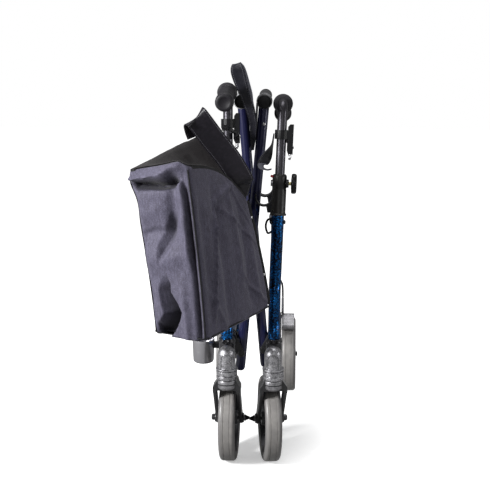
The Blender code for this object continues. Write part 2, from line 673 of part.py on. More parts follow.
def build_handle(side):
    """Handle tube, its glide bush, grip, brake housing and lever."""
    name = SIDE_NAME[side]
    pivot = handle_pivot(side)
    corner = handle_point(side, 0, 0, HANDLE_CORNER)
    along = grip_direction(side)
    corners = [handle_point(side, 0, 0, HANDLE_BOTTOM), corner, corner + along * (GRIP_START + GRIP_LENGTH - 0.012)]
    tube = sweep(bent_path(corners, HANDLE_BEND, 4), round_section(HANDLE_RADIUS, 12))
    new_object(f"handle_tube_{name}", tube, STEEL, pivot)
    bush_outer = UPRIGHT_BORE - GAP
    bush_inner = HANDLE_RADIUS + GAP
    ring = [(bush_inner, 0.0), (bush_outer, 0.0), (bush_outer, BUSH_LENGTH), (bush_inner, BUSH_LENGTH)]
    place = post_matrix(side, HANDLE_BOTTOM + 0.004, raised=True)
    new_object(f"glide_bush_{name}", lathe(ring, place, 14, closed=True), BLACK, pivot)
    swell = GRIP_RADIUS + 0.0016
    bore = HANDLE_RADIUS + GAP
    profile = [(0.0, GRIP_LENGTH - 0.0115), (bore, GRIP_LENGTH - 0.0115), (bore, 0.0), (GRIP_FLANGE, 0.0),
               (GRIP_FLANGE, 0.0035), (GRIP_RADIUS, 0.0080), (swell, 0.040), (GRIP_RADIUS, 0.078),
               (swell, 0.098), (GRIP_END, 0.108), (GRIP_END, GRIP_LENGTH - 0.004),
               (GRIP_END - 0.004, GRIP_LENGTH), (0.0, GRIP_LENGTH)]
    grip = lathe(profile, axis_matrix(corner + along * GRIP_START, along), 16)
    new_object(f"hand_grip_{name}", grip, GRIP, pivot)
    build_brake_lever(side, pivot)


def build_brake_lever(side, pivot):
    """Brake housing clamped on the handle tube, and its lever."""
    name = SIDE_NAME[side]

    def place(a, b, depth):
        return handle_point(side, a, depth, b)

    out, back, height = LEVER_PIVOT
    edge = HANDLE_RADIUS + 0.003
    neck_low = COLLAR_BOTTOM + 0.002
    neck_high = COLLAR_TOP - 0.002
    outline = [(0.002, neck_low), (edge, neck_low), (edge, HOUSING_BOTTOM + 0.006),
               (edge + 0.003, HOUSING_BOTTOM), (edge + 0.013, HOUSING_BOTTOM), (edge + 0.013, HOUSING_TOP),
               (edge + 0.005, HOUSING_TOP), (edge, HOUSING_TOP - 0.006), (edge, neck_high), (0.002, neck_high)]
    housing = new_object(f"brake_housing_{name}", slab(outline, place, -0.010, 0.006), BLACK, pivot)
    collar = [(0.0, COLLAR_BOTTOM), (HANDLE_RADIUS + 0.0045, COLLAR_BOTTOM),
              (HANDLE_RADIUS + 0.0045, COLLAR_TOP), (0.0, COLLAR_TOP)]
    join(housing, lathe([(r, h - COLLAR_BOTTOM) for r, h in collar], post_matrix(side, COLLAR_BOTTOM, True), 14))
    wall = LEVER_WIDTH / 2 + GAP
    for low, high in ((edge - 0.001, out - wall), (out + wall, edge + 0.0125)):
        ear = belt(((back, height), 0.0065), ((0.0, height), 0.0085))
        join(housing, slab(ear, lambda a, b, depth: handle_point(side, depth, a, b), low, high))
    join(housing, rod(handle_point(side, edge + 0.001, back, height),
                      handle_point(side, edge + 0.012, back, height), LEVER_PIN_RADIUS, 10))
    bore_low = handle_point(side, 0, 0, HOUSING_BOTTOM - 0.01)
    cut(housing, rod(bore_low, handle_point(side, 0, 0, HOUSING_TOP + 0.01), HANDLE_RADIUS + GAP))

    lever_pivot = handle_point(side, out, back, height)
    knots = [(out, back + 0.002, height), (out, back + 0.018, height + 0.005), (0.012, 0.050, height + 0.014),
             (0.003, 0.074, height + 0.018), (0.0, 0.104, height + 0.018), (0.0, 0.128, height + 0.020),
             (0.0, 0.137, height + 0.024)]
    path = smooth_path([handle_point(side, *k) for k in knots], 3)
    across = handle_point(side, 1, 0, 0) - handle_point(side, 0, 0, 0)
    widths = [1.0 + 0.9 * min(1.0, max(0.0, 1.8 * i / len(path) - 0.45)) for i in range(len(path))]
    lever = sweep(path, flat_section(LEVER_WIDTH, 0.0050), across, widths)
    bar = new_object(f"brake_lever_{name}", lever, BLACK, lever_pivot)
    half = Vector(across) * (LEVER_WIDTH / 2)
    join(bar, rod(lever_pivot - half, lever_pivot + half, 0.0062, 14))
    cut(bar, rod(lever_pivot - half * 3, lever_pivot + half * 3, LEVER_PIN_RADIUS + GAP, 10))


def build_brake_cable(side):
    """Outer brake cable: out of the upright, under the rear tube and down to the brake arm."""
    name = SIDE_NAME[side]
    corners = rear_leg_corners(side)
    slope = (corners[2] - corners[1]).normalized()
    offset = REAR_TUBE_RADIUS + CABLE_RADIUS + 0.0008
    below = Vector((0.0, slope.z, -slope.y)) * offset
    outward = Vector((side, 0.0, 0.0))
    forward = Vector((0.0, -1.0, 0.0))
    inner = corners[1] + (forward + slope).normalized() * (offset / math.sin(forward.angle(slope) / 2))
    level = corners[1].z - offset
    x = side * REAR_TUBE_HALF
    start = post_point(side, -(UPRIGHT_RADIUS + 0.0012), -0.004, SLEEVE_BOTTOM - 0.008)
    brake = wheel_polar(BRAKE_PIVOT_RISE, BRAKE_PIVOT_ANGLE)
    foot = Vector((side * (REAR_TUBE_HALF + DROPOUT_HALF_WIDTH + CABLE_RADIUS + 0.001),
                   brake[0] - 0.001, brake[1] + 0.0098))
    wide = (abs(foot.x) - REAR_TUBE_HALF) * outward
    knots = [start, start + Vector((-side * 0.0085, 0.002, -0.004)), start + Vector((-side * 0.0125, 0.002, -0.017)),
             start + Vector((-side * 0.0100, 0.004, -0.031)), start + Vector((-side * 0.0055, 0.014, -0.037)),
             Vector((x - side * 0.003, start.y + 0.038, level - 0.010))]
    run = bent_path([Vector((x, start.y + 0.075, level)), inner, inner + slope * 0.20], BEND_RADIUS - offset, 4)
    last = run[-1]
    around = [last + slope * 0.035 + (wide * 0.72 - below * 0.35), last + slope * 0.070 + (wide - below)]
    path = smooth_path(knots + run[:1], 2)[:-1] + run[:-1] + smooth_path([last] + around + [foot], 3)
    new_object(f"brake_cable_{name}", sweep(path, round_section(CABLE_RADIUS, 8)), BLACK)


def build_cradle(side):
    """Moulded strip on the seat tube with the two U cradles that the seat rail drops into."""
    name = SIDE_NAME[side]
    tube_top = DATUM + SEAT_TUBE + REAR_TUBE_RADIUS + GAP
    centre = (RAIL_HALF, DATUM + RAIL_OPEN)
    inner = SEAT_RAIL_CAP + CRADLE_CLEARANCE
    outer = inner + CRADLE_WALL
    wall_x = centre[0] + outer
    outline = ([(wall_x, centre[1] + 0.016), (wall_x, tube_top + 0.011), (REAR_TUBE_HALF + 0.009, tube_top + 0.008),
                (REAR_TUBE_HALF + 0.009, tube_top), (RAIL_HALF + 0.008, tube_top)]
               + arc(centre, outer, -75, -180, 6)
               + [(centre[0] - outer, centre[1] + 0.008), (centre[0] - inner, centre[1] + 0.008)]
               + arc(centre, inner, -180, 0, 8) + [(centre[0] + inner, centre[1] + 0.016)])
    cradle = new_object(f"seat_cradle_{name}",
                        slab(outline, xz(side), *CRADLE_SPANS[0]), BLACK)
    join(cradle, slab(outline, xz(side), *CRADLE_SPANS[1]))
    low = (REAR_TUBE_HALF - 0.006, CRADLE_SPANS[0][0] + 0.002, tube_top)
    high = (REAR_TUBE_HALF + 0.007, CRADLE_SPANS[1][1] - 0.002, tube_top + 0.0045)
    xs = sorted((side * low[0], side * high[0]))
    join(cradle, block((xs[0], low[1], low[2]), (xs[1], high[1], high[2])))


def build_pivot_bracket(side):
    """Two lugs on the lower rail with the pin that an arm turns on."""
    name = SIDE_NAME[side]
    plane = ARM_PLANE[side]
    inner = ARM_RADIUS + 0.0008
    rail = (FRAME_HALF, DATUM + LOWER_RAIL)
    pin = (RAIL_HALF, PIVOT_Z)
    outline = belt((rail, LOWER_RAIL_RADIUS + 0.0040), (pin, 0.0092))
    bracket = new_object(f"pivot_bracket_{name}",
                         slab(outline, xz(side), plane - inner - LUG_THICKNESS, plane - inner), BLACK)
    join(bracket, slab(outline, xz(side), plane + inner, plane + inner + LUG_THICKNESS))
    reach = inner + LUG_THICKNESS + 0.003
    join(bracket, rod((side * pin[0], plane - reach, pin[1]), (side * pin[0], plane + reach, pin[1]),
                      PIN_RADIUS, 10))
    for low, high in ((-reach, -reach + 0.0035), (reach - 0.0035, reach)):
        join(bracket, rod((side * pin[0], plane + low, pin[1]), (side * pin[0], plane + high, pin[1]),
                          0.0068, 6))
    cut(bracket, rod((side * rail[0], plane - 0.05, rail[1]), (side * rail[0], plane + 0.05, rail[1]),
                     LOWER_RAIL_RADIUS + GAP, 12))


def build_arm(side):
    """One arm of the X brace, hinged on the given side, and the seat rail that it carries."""
    foot_x = side * RAIL_HALF
    top_x = -foot_x
    plane = ARM_PLANE[side]
    carried = SIDE_NAME[-side]
    foot = Vector((foot_x, plane, PIVOT_Z))
    top = Vector((top_x, plane, RAIL_Z))
    line = (top - foot).normalized()
    end = foot - line * ARM_STUB
    path = [end, end + line * 0.0025, end + line * 0.0070, end + line * 0.013, top]
    arm = new_object(f"brace_arm_{SIDE_NAME[side]}",
                     sweep(path, round_section(ARM_RADIUS, 12), (0, 1, 0), [0.45, 0.78, 0.95, 1.0, 1.0]),
                     NAVY, foot)
    middle = (foot + top) / 2
    back = Vector((0, 0.03, 0))
    cut(arm, rod(foot - back, foot + back, PIN_RADIUS + GAP, 10))
    cut(arm, rod(middle - back, middle + back, PIN_RADIUS + GAP, 10))
    cut(arm, rod(top - back, top + back, SEAT_RAIL_RADIUS + GAP, 16))
    length = SEAT_RAIL_LENGTH
    cap = SEAT_RAIL_CAP
    profile = [(0.0, 0.0), (cap - 0.003, 0.0), (cap, 0.003), (cap, CAP_LENGTH - 0.001),
               (SEAT_RAIL_RADIUS, CAP_LENGTH), (SEAT_RAIL_RADIUS, length - CAP_LENGTH),
               (cap, length - CAP_LENGTH + 0.001), (cap, length - 0.003), (cap - 0.003, length), (0.0, length)]
    place = axis_matrix((top_x, SEAT_RAIL_FRONT, RAIL_Z), (0, 1, 0))
    new_object(f"seat_rail_{carried}", lathe(profile, place, 16), BLACK, foot)


def build_centre_pin():
    """Bolt that the two arms cross on, with the washer between them."""
    front = ARM_PLANE[LEFT] - ARM_RADIUS - GAP
    rear = ARM_PLANE[RIGHT] + ARM_RADIUS + GAP
    washer_low = ARM_PLANE[LEFT] + ARM_RADIUS + GAP - front
    washer_high = ARM_PLANE[RIGHT] - ARM_RADIUS - GAP - front
    length = rear - front
    profile = [(0.0, -0.0045), (0.0070, -0.0045), (0.0078, -0.0030), (0.0078, 0.0), (PIN_RADIUS, 0.0),
               (PIN_RADIUS, washer_low), (0.0095, washer_low), (0.0095, washer_high),
               (PIN_RADIUS, washer_high), (PIN_RADIUS, length), (0.0078, length),
               (0.0078, length + 0.005), (0.0, length + 0.005)]
    place = axis_matrix((0, front, CROSS_Z), (0, 1, 0))
    new_object("cross_bolt", lathe(profile, place, 12), BOLT, Vector((0, front, CROSS_Z)))


def build_cane_cup():
    """Cane holder cup clamped to the left lower rail."""
    centre = Vector((-CUP_CENTRE_OUT, CUP_CENTRE_Y, WHEEL_RADIUS * 2 + CANE_CUP_LIFT))
    r = CANE_CUP_RADIUS
    outer = [(0.0, 0.0), (r - 0.0065, 0.0), (r - 0.0030, 0.0015), (r - 0.0015, 0.005),
             (r, CANE_CUP_HEIGHT), (0.0, CANE_CUP_HEIGHT)]
    up = axis_matrix(centre, (0, 0, 1))
    cup = new_object("cane_cup", lathe(outer, up, 18), GRAPHITE)
    rail_z = DATUM + LOWER_RAIL
    rail = -FRAME_HALF
    width = 0.010
    join(cup, block((centre.x + r - 0.004, CUP_CENTRE_Y - width, rail_z - 0.006),
                    (rail - LOWER_RAIL_RADIUS - 0.001, CUP_CENTRE_Y + width, rail_z + 0.006)))
    join(cup, rod((rail, CUP_CENTRE_Y - width, rail_z), (rail, CUP_CENTRE_Y + width, rail_z),
                  LOWER_RAIL_RADIUS + 0.0040, 14))
    cut(cup, rod((rail, CUP_CENTRE_Y - 0.05, rail_z), (rail, CUP_CENTRE_Y + 0.05, rail_z),
                 LOWER_RAIL_RADIUS + GAP, 12))
    floor = CANE_CUP_WALL
    wall = CANE_CUP_WALL
    inside = [(0.0, floor), (r - 0.0065 - wall, floor), (r - 0.0015 - wall, floor + 0.005),
              (r - wall, CANE_CUP_HEIGHT + 0.01), (0.0, CANE_CUP_HEIGHT + 0.01)]
    cut(cup, lathe(inside, up, 18))


def bag_point(across, along, rise):
    """Point of the bag: along its short side, along its long side (0 to 1), and up (0 to 1)."""
    long_way = Vector((math.sin(BAG_HEADING), math.cos(BAG_HEADING), 0.0)) * BAG_LENGTH
    short_way = Vector((-math.cos(BAG_HEADING), math.sin(BAG_HEADING), 0.0)) * BAG_WIDTH
    corner = Vector((*BAG_FRONT, DATUM + BAG_BOTTOM))
    lean = Vector((BAG_LEAN + BAG_FLARE * (1 - across) * (1 - along), 0.0, 0.0)) * rise ** 1.3
    near, far = [low + (high - low) * along for low, high in BAG_HEIGHTS]
    height = near + (far - near) * across
    return corner + short_way * across + long_way * along + lean + Vector((0, 0, height * rise))


def build_bag():
    """Carry bag as a rounded, slightly leaning block."""
    bm = bmesh.new()
    rings = []
    corners = ((1, 1, 0), (0, 1, 90), (0, 0, 180), (1, 0, 270))
    for rise, inset in ((0.0, 0.012), (0.035, 0.0), (0.35, 0.0), (0.7, 0.002), (0.93, 0.006), (1.0, 0.020)):
        ring = []
        for a, b, start in corners:
            for angle in (0, 30, 60, 90):
                turn = math.radians(start + angle)
                reach = BAG_CORNER - 0.2 * inset
                x = (a * BAG_WIDTH - (2 * a - 1) * (reach + inset) + reach * math.cos(turn)) / BAG_WIDTH
                y = (b * BAG_LENGTH - (2 * b - 1) * (reach + inset) + reach * math.sin(turn)) / BAG_LENGTH
                ring.append(bm.verts.new(bag_point(x, y, rise)))
        rings.append(ring)
    for ring, after in zip(rings, rings[1:]):
        for i in range(len(ring)):
            j = (i + 1) % len(ring)
            bm.faces.new((ring[i], ring[j], after[j], after[i]))
    bm.faces.new(rings[0])
    bm.faces.new(rings[-1])
    new_object("carry_bag", bm, CLOTH)


def build_bag_strap():
    """Wide carry strap: from the bag's right side up to a fold and back down to the bag's top."""
    side_face = bag_point(0.0, 0.83, 0.90)
    clear = Vector((math.cos(BAG_HEADING), -math.sin(BAG_HEADING), 0.0)) * (WEBBING / 2 + GAP)
    start = side_face + clear
    knots = [start + Vector(offset) for offset in (
        (0.0, 0.0, 0.0), (0.0060, -0.0060, 0.0300), (0.0073, -0.0141, 0.0559), (-0.0157, -0.0281, 0.0949),
        (-0.0467, -0.0421, 0.1389), (-0.0737, -0.0581, 0.1809), (-0.0870, -0.0581, 0.1989),
        (-0.0930, -0.0421, 0.1939), (-0.0900, -0.0241, 0.1819), (-0.0850, -0.0101, 0.1649))]
    ways = [(0.43, 0.90, 0.05), (0.45, 0.70, 0.35), (0.6, 0.2, 0.75), (0.7, 0.05, 0.7), (0.72, 0.0, 0.68),
            (0.74, 0.0, 0.66), (0.75, 0.05, 0.66), (0.75, 0.05, 0.64), (0.75, 0.1, 0.60), (0.75, 0.1, 0.56)]
    path = smooth_path(knots, 3)
    spread = smooth_path([Vector(w) for w in ways], 3)
    bm = sweep(path, flat_section(0.052, WEBBING), sides=spread)
    new_object("bag_strap", bm, WEB)


def build_bag_hanger():
    """Webbing loop round the left upright that carries the bag by its back."""
    low = HANGER_HEIGHT - HANGER_WIDTH / 2
    high = HANGER_HEIGHT + HANGER_WIDTH / 2
    centre = post_point(LEFT, 0, 0, HANGER_HEIGHT - POST_FOOT)
    foot = post_point(LEFT, 0, 0, low - POST_FOOT)
    top = post_point(LEFT, 0, 0, high - POST_FOOT)
    hanger = new_object("bag_hanger", rod(foot, top, UPRIGHT_RADIUS + GAP + WEBBING, 16), WEB)
    back = bag_point(0.78, 1.0, (centre.z - DATUM - BAG_BOTTOM) / BAG_HEIGHTS[1][1])
    reach = Vector((back.x, back.y + 0.0012, centre.z))
    tab = [Vector((centre.x, centre.y - UPRIGHT_RADIUS - 0.0020, centre.z)), reach]
    join(hanger, sweep(tab, flat_section(HANGER_WIDTH - 0.002, WEBBING), (0, 0, 1)))
    cut(hanger, rod(foot + (foot - top), top + (top - foot), UPRIGHT_RADIUS + GAP))


def build_webbing_loop():
    """Webbing loop on the right handle tube, twisting to the front as it hangs on its inner side."""
    side = RIGHT
    knots = [(-0.0176, 0.0, 0.3600), (-0.0205, -0.002, 0.3340), (-0.0290, -0.004, 0.3120),
             (-0.0350, -0.004, 0.2990), (-0.0395, -0.002, 0.2885), (-0.0370, 0.0, 0.2805),
             (-0.0290, 0.0, 0.2780), (-0.0215, 0.0, 0.2785)]
    ways = [(0.0, 1.0), (0.15, 1.0), (0.75, 0.65), (1.0, 0.35), (0.75, 0.65), (0.2, 1.0), (0.0, 1.0), (0.0, 1.0)]
    path = smooth_path([handle_point(side, *k) for k in knots], 2)
    foot = handle_point(side, 0, 0, 0)
    spread = smooth_path([handle_point(side, *way, 0) - foot for way in ways], 2)
    new_object("webbing_loop", sweep(path, flat_section(0.026, WEBBING), sides=spread), WEB, handle_pivot(side))


def sling_profile():
    """Points (x, z) of the folded seat sling, hanging as a narrow V between the rails."""
    drop = math.sqrt(((RAIL_FOLDED - PIVOT) / 2) ** 2 + RAIL_HALF ** 2)
    flat = (RAIL_OPEN - PIVOT) / 2
    open_angle = math.acos((RAIL_OPEN - PIVOT) / (2 * drop))
    points = []
    for i in range(13):
        t = i / 12
        share = t * t * (3 - 2 * t)
        angle = open_angle * (2 * share - 1)
        reach = min(flat / math.cos(angle), drop - 0.004)
        points.append((SLING_TOP_HALF * (2 * t - 1), CROSS_Z + reach))
    return points


def build_sling():
    """Seat sling between the two rails, and the pull strap on its front edge."""
    front = SEAT_RAIL_FRONT + CAP_LENGTH + 0.002
    rear = SEAT_RAIL_FRONT + SEAT_RAIL_LENGTH - CAP_LENGTH - 0.002
    path = [Vector((x, (front + rear) / 2, z)) for x, z in sling_profile()]
    bm = sweep(path, flat_section(rear - front, SLING_THICKNESS), (0, 1, 0))
    new_object("seat_sling", bm, WEB, Vector((0, ARM_PLANE[LEFT], CROSS_Z)))
    lift = RAIL_Z
    outline = [(-0.0190, -0.050), (-0.0060, -0.058), (0.0040, -0.045), (0.0100, -0.012), (0.0060, 0.012),
               (-0.0120, 0.018), (-0.0180, 0.040), (-0.0250, 0.080), (-0.0310, 0.0892), (-0.0430, 0.0882),
               (-0.0500, 0.078), (-0.0440, 0.048), (-0.0330, 0.010), (-0.0260, -0.020)]
    bm = slab([(x, z + lift) for x, z in outline], xz(RIGHT), PULL_BACK - PULL_DEPTH, PULL_BACK)
    strap = new_object("pull_strap", bm, WEB, Vector((0, ARM_PLANE[LEFT], CROSS_Z)))
    middle = sling_profile()[8]
    join(strap, block((middle[0] - 0.004, PULL_BACK - 0.004, lift - 0.046),
                      (middle[0] + 0.004, front - 0.0005, lift - 0.020)))


for each_side in (RIGHT, LEFT):
    build_caster(each_side)
    build_head(each_side)
    build_frame(each_side)
    build_rear_end(each_side)
    build_height_clamp(each_side)
    build_handle(each_side)
    build_brake_cable(each_side)
    build_cradle(each_side)
    build_pivot_bracket(each_side)
    build_arm(each_side)
build_centre_pin()
build_cane_cup()
build_bag()
build_bag_strap()
build_bag_hanger()
build_webbing_loop()
build_sling()
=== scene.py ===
"""Looks of the folded side-folding walker: finishes, detailed pieces, soft parts, floor, lamps and camera.

Sizes are metres. Pieces are drawn in the walker's own frame, whose X = 0 is the mid plane, Y = 0 the
front axle and Z = 0 the floor, and fit() moves them to the row frame. Names ending in left and right
are as seen from the front of the walker.
"""

import logging
import math
from collections.abc import Callable, Sequence
from dataclasses import dataclass, field
from enum import Enum
from typing import ClassVar

import bmesh
import bpy
from mathutils import Matrix, Vector, noise


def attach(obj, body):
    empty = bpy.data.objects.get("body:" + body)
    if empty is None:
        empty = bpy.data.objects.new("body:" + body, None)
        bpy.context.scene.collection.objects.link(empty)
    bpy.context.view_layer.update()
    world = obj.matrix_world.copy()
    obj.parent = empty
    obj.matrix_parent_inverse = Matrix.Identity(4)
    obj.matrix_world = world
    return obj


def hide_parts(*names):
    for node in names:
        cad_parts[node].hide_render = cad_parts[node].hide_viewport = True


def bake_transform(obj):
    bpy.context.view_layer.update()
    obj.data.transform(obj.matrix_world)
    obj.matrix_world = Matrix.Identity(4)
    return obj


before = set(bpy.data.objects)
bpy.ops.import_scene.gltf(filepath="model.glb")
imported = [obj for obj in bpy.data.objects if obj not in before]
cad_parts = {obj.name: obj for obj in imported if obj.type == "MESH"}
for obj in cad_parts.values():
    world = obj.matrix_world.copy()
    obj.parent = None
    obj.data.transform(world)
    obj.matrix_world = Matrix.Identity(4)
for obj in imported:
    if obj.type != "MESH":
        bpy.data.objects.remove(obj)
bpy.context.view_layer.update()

LOG = logging.getLogger("walker")
ORIGIN = Vector((0.0536, -0.1297, 0.0))
UP = Vector((0.0, 0.0, 1.0))

# Sizes that more than one place uses. DATUM is the level of the steering heads' feet, LOWER_RAIL is the
# rail's height over it, and UPRIGHT_TOP and SLEEVE_FOOT lie along the posts.
GAP = 0.0003
WHEEL_RADIUS = 0.100
WHEEL_WIDTH = 0.038
WHEELBASE = 0.480
REAR_TRACK = 0.087
REAR_BOSS = 0.0148
STEER_HALF = 0.0524
TRAIL = 0.069
DATUM = 0.220867
LOWER_RAIL = 0.0404
FRAME_HALF = 0.0535
UPRIGHT_TOP = 0.2315
UPRIGHT_RADIUS = 0.014
SLEEVE_FOOT = 0.1748
HANDLE_RADIUS = 0.011

Point = Sequence[float]
Outline = list[tuple[float, float]]
Placer = Callable[[float, float, float], Vector]
Shape = bmesh.types.BMesh


class Side(Enum):
    """The two side frames, with the sign of their X."""

    LEFT = -1
    RIGHT = 1

    @property
    def label(self) -> str:
        """Word that the side's pieces end in."""
        return self.name.lower()


# ---- shader kit


class Wire:
    """A node's output. Arithmetic on it adds Math nodes to the same material."""

    def __init__(self, tree: "Tree", socket: bpy.types.NodeSocket) -> None:
        """Wrap one output socket of tree."""
        self.tree = tree
        self.socket = socket

    def math(self, operation: str, *others: "Wire | float", flipped: bool = False) -> "Wire":
        """Add a Math node.

        Args:
            operation: Name of the Math node's operation.
            others: The other operands.
            flipped: Whether this wire comes second.

        Returns:
            The node's result.
        """
        operands = [self, *others]
        if flipped:
            operands.reverse()
        return self.tree.node("ShaderNodeMath", {"operation": operation}, dict(enumerate(operands)))

    def __add__(self, other: "Wire | float") -> "Wire":
        """Sum."""
        return self.math("ADD", other)

    __radd__ = __add__

    def __sub__(self, other: "Wire | float") -> "Wire":
        """Difference."""
        return self.math("SUBTRACT", other)

    def __rsub__(self, other: float) -> "Wire":
        """Difference with the number first."""
        return self.math("SUBTRACT", other, flipped=True)

    def __mul__(self, other: "Wire | float") -> "Wire":
        """Product."""
        return self.math("MULTIPLY", other)

    __rmul__ = __mul__

    def wave(self, length: float) -> "Wire":
        """Sine wave of a length along the value."""
        return (self * (2 * math.pi / length)).math("SINE")

    def size(self) -> "Wire":
        """Value without its sign."""
        return self.math("ABSOLUTE")

    def above(self, limit: float) -> "Wire":
        """1 where the value is over limit, else 0."""
        return self.math("GREATER_THAN", limit)

    def within(self, low: float, high: float) -> "Wire":
        """Smooth step from 0 at low to 1 at high."""
        return self.tree.node("ShaderNodeMapRange", {"interpolation_type": "SMOOTHSTEP"},
                              {"Value": self, "From Min": low, "From Max": high})


class Tree:
    """The nodes of one material, or of the world."""

    def __init__(self, owner: bpy.types.Material | bpy.types.World) -> None:
        """Start with the owner's own shader.

        Args:
            owner: A material or a world.
        """
        owner.use_nodes = True
        self.owner = owner
        self.nodes = owner.node_tree.nodes
        self.links = owner.node_tree.links
        self.shader = self.nodes["Background" if isinstance(owner, bpy.types.World) else "Principled BSDF"]

    @classmethod
    def material(cls, name: str) -> "Tree":
        """Tree of a new material."""
        return cls(bpy.data.materials.new(name))

    def node(self, kind: str, settings: dict | None = None, values: dict | None = None,
             output: int | str = 0) -> Wire:
        """Add a node.

        Args:
            kind: Blender's name of the node type.
            settings: Attributes set before the sockets.
            values: Numbers, colours or wires by socket name or number.
            output: Which output to return.

        Returns:
            The chosen output.
        """
        node = self.nodes.new(kind)
        for key, value in (settings or {}).items():
            setattr(node, key, value)
        for key, value in (values or {}).items():
            self.plug(node.inputs[key], value)
        return Wire(self, node.outputs[output])

    def plug(self, socket: bpy.types.NodeSocket, value: "Wire | float | Point") -> None:
        """Link a wire to a socket, or write a constant on it.

        Args:
            socket: The socket.
            value: The wire, number or colour.
        """
        if isinstance(value, Wire):
            self.links.new(value.socket, socket)
        elif hasattr(value, "__len__") and len(value) == 3 and socket.type == "RGBA":
            socket.default_value = (*value, 1)
        else:
            socket.default_value = value

    def coordinates(self) -> Wire:
        """Place on the piece in metres, fixed to the piece."""
        return self.node("ShaderNodeTexCoord", output="Object")

    def cloth_axes(self) -> tuple[Wire, Wire]:
        """Read the UV map of a strap or cloth.

        Returns:
            Metres across it, and metres along it.
        """
        flat = self.node("ShaderNodeTexCoord", output="UV")
        split = self.node("ShaderNodeSeparateXYZ", values={0: flat})
        return split, Wire(self, split.socket.node.outputs[1])

    def noise(self, scale: float, detail: float = 3.0, place: Wire | None = None,
              stretch: Point | None = None) -> Wire:
        """Add a noise texture.

        Args:
            scale: Patches per metre.
            detail: Octaves.
            place: Coordinates to read, or None for the piece's own.
            stretch: Scale of each axis, for streaks.

        Returns:
            Value from 0 to 1.
        """
        place = place or self.coordinates()
        if stretch:
            place = self.node("ShaderNodeMapping", values={"Vector": place, "Scale": stretch})
        return self.node("ShaderNodeTexNoise", values={"Vector": place, "Scale": scale, "Detail": detail,
                                                        "Roughness": 0.55})

    def cells(self, scale: float, feature: str = "F1", output: int | str = "Distance") -> Wire:
        """Voronoi texture with scale cells per metre."""
        return self.node("ShaderNodeTexVoronoi", {"feature": feature},
                         {"Vector": self.coordinates(), "Scale": scale}, output)

    def mix(self, share: Wire | float, low: Wire | Point, high: Wire | Point) -> Wire:
        """Colour between low and high."""
        return self.node("ShaderNodeMix", {"data_type": "RGBA"}, {0: share, 6: low, 7: high}, 2)

    def shade(self, colour: Wire | Point, amount: Wire) -> Wire:
        """Colour multiplied by a value."""
        both = self.node("ShaderNodeCombineXYZ", values={0: amount, 1: amount, 2: amount})
        return self.node("ShaderNodeMix", {"data_type": "RGBA", "blend_type": "MULTIPLY"},
                         {0: 1.0, 6: colour, 7: both}, 2)

    def relief(self, height: Wire, depth: float, strength: float = 1.0, under: Wire | None = None) -> Wire:
        """Add a bump.

        Args:
            height: Its height, 0 to 1.
            depth: Its depth in metres.
            strength: How strongly it shows.
            under: Normal of a bump that it lies on.

        Returns:
            The bent normal.
        """
        values = {"Height": height, "Distance": depth, "Strength": strength}
        if under:
            values["Normal"] = under
        return self.node("ShaderNodeBump", values=values)

    def edges(self) -> Wire:
        """Share of a worn convex edge, 0 on flats."""
        tip = self.node("ShaderNodeNewGeometry", output="Pointiness")
        return tip.within(0.53, 0.62)

    def backdrop_seen(self, mirrored: float) -> Wire:
        """Share of the backdrop that a ray sees.

        Args:
            mirrored: Share that a glossy ray sees; the camera's and those through glass see all.

        Returns:
            The share.
        """
        camera, glossy, clear = [self.node("ShaderNodeLightPath", output=f"Is {ray} Ray")
                                 for ray in ("Camera", "Glossy", "Transmission")]
        return camera + glossy * mirrored + clear

    def finish(self, **sockets: "Wire | float | Point") -> bpy.types.Material | bpy.types.World:
        """Fill the shader's sockets.

        Args:
            sockets: Values or wires by socket name, spaces written as underscores.

        Returns:
            The finished material or world.
        """
        for name, value in sockets.items():
            self.plug(self.shader.inputs[name.replace("_", " ")], value)
        return self.owner


# ---- finishes


@dataclass(frozen=True)
class HammeredPaint:
    """Hammer-finish metallic enamel: dark pits with bright flakes between them."""

    name: str
    deep: Point
    bright: Point
    cell: float = 0.0032
    metallic: float = 0.85
    roughness: float = 0.3
    pit_depth: float = 0.0004
    coat: float = 0.1

    def make(self) -> bpy.types.Material:
        """Build the material.

        Returns:
            The material.
        """
        tree = Tree.material(self.name)
        pits = tree.cells(1.0 / self.cell, "SMOOTH_F1")
        flakes = tree.noise(2.2 / self.cell, 2.0)
        cloud = tree.noise(28.0, 2.0)
        bright = (flakes * 0.7 + pits * 0.7 + cloud * 0.35).within(0.72, 1.04)
        worn = tree.edges()
        colour = tree.mix(bright, self.deep, self.bright)
        colour = tree.mix(worn * 0.25, colour, (0.2, 0.21, 0.23))
        rough = self.roughness + (1 - bright) * 0.1 + tree.noise(90.0) * 0.08
        normal = tree.relief(pits, self.pit_depth, 0.55)
        normal = tree.relief(tree.noise(9.0, 2.0), 0.0006, 0.25, normal)
        return tree.finish(Base_Color=colour, Roughness=rough, Metallic=self.metallic, Normal=normal,
                           Coat_Weight=self.coat, Coat_Roughness=0.08)


@dataclass(frozen=True)
class GlossEnamel:
    """Plain dark enamel on a tube, with light orange peel and rubbed spots."""

    name: str
    colour: Point
    rubbed: Point
    roughness: float = 0.24
    metallic: float = 0.45

    def make(self) -> bpy.types.Material:
        """Build the material.

        Returns:
            The material.
        """
        tree = Tree.material(self.name)
        peel = tree.noise(420.0, 2.0)
        rub = tree.noise(45.0, 5.0, stretch=(1, 1, 0.25)).within(0.6, 0.78)
        colour = tree.mix(rub * 0.35 + tree.edges() * 0.3, self.colour, self.rubbed)
        rough = self.roughness + rub * 0.22 + tree.noise(150.0) * 0.06
        return tree.finish(Base_Color=colour, Roughness=rough, Metallic=self.metallic,
                           Normal=tree.relief(peel, 0.00008, 0.35), Coat_Weight=0.12, Coat_Roughness=0.16)


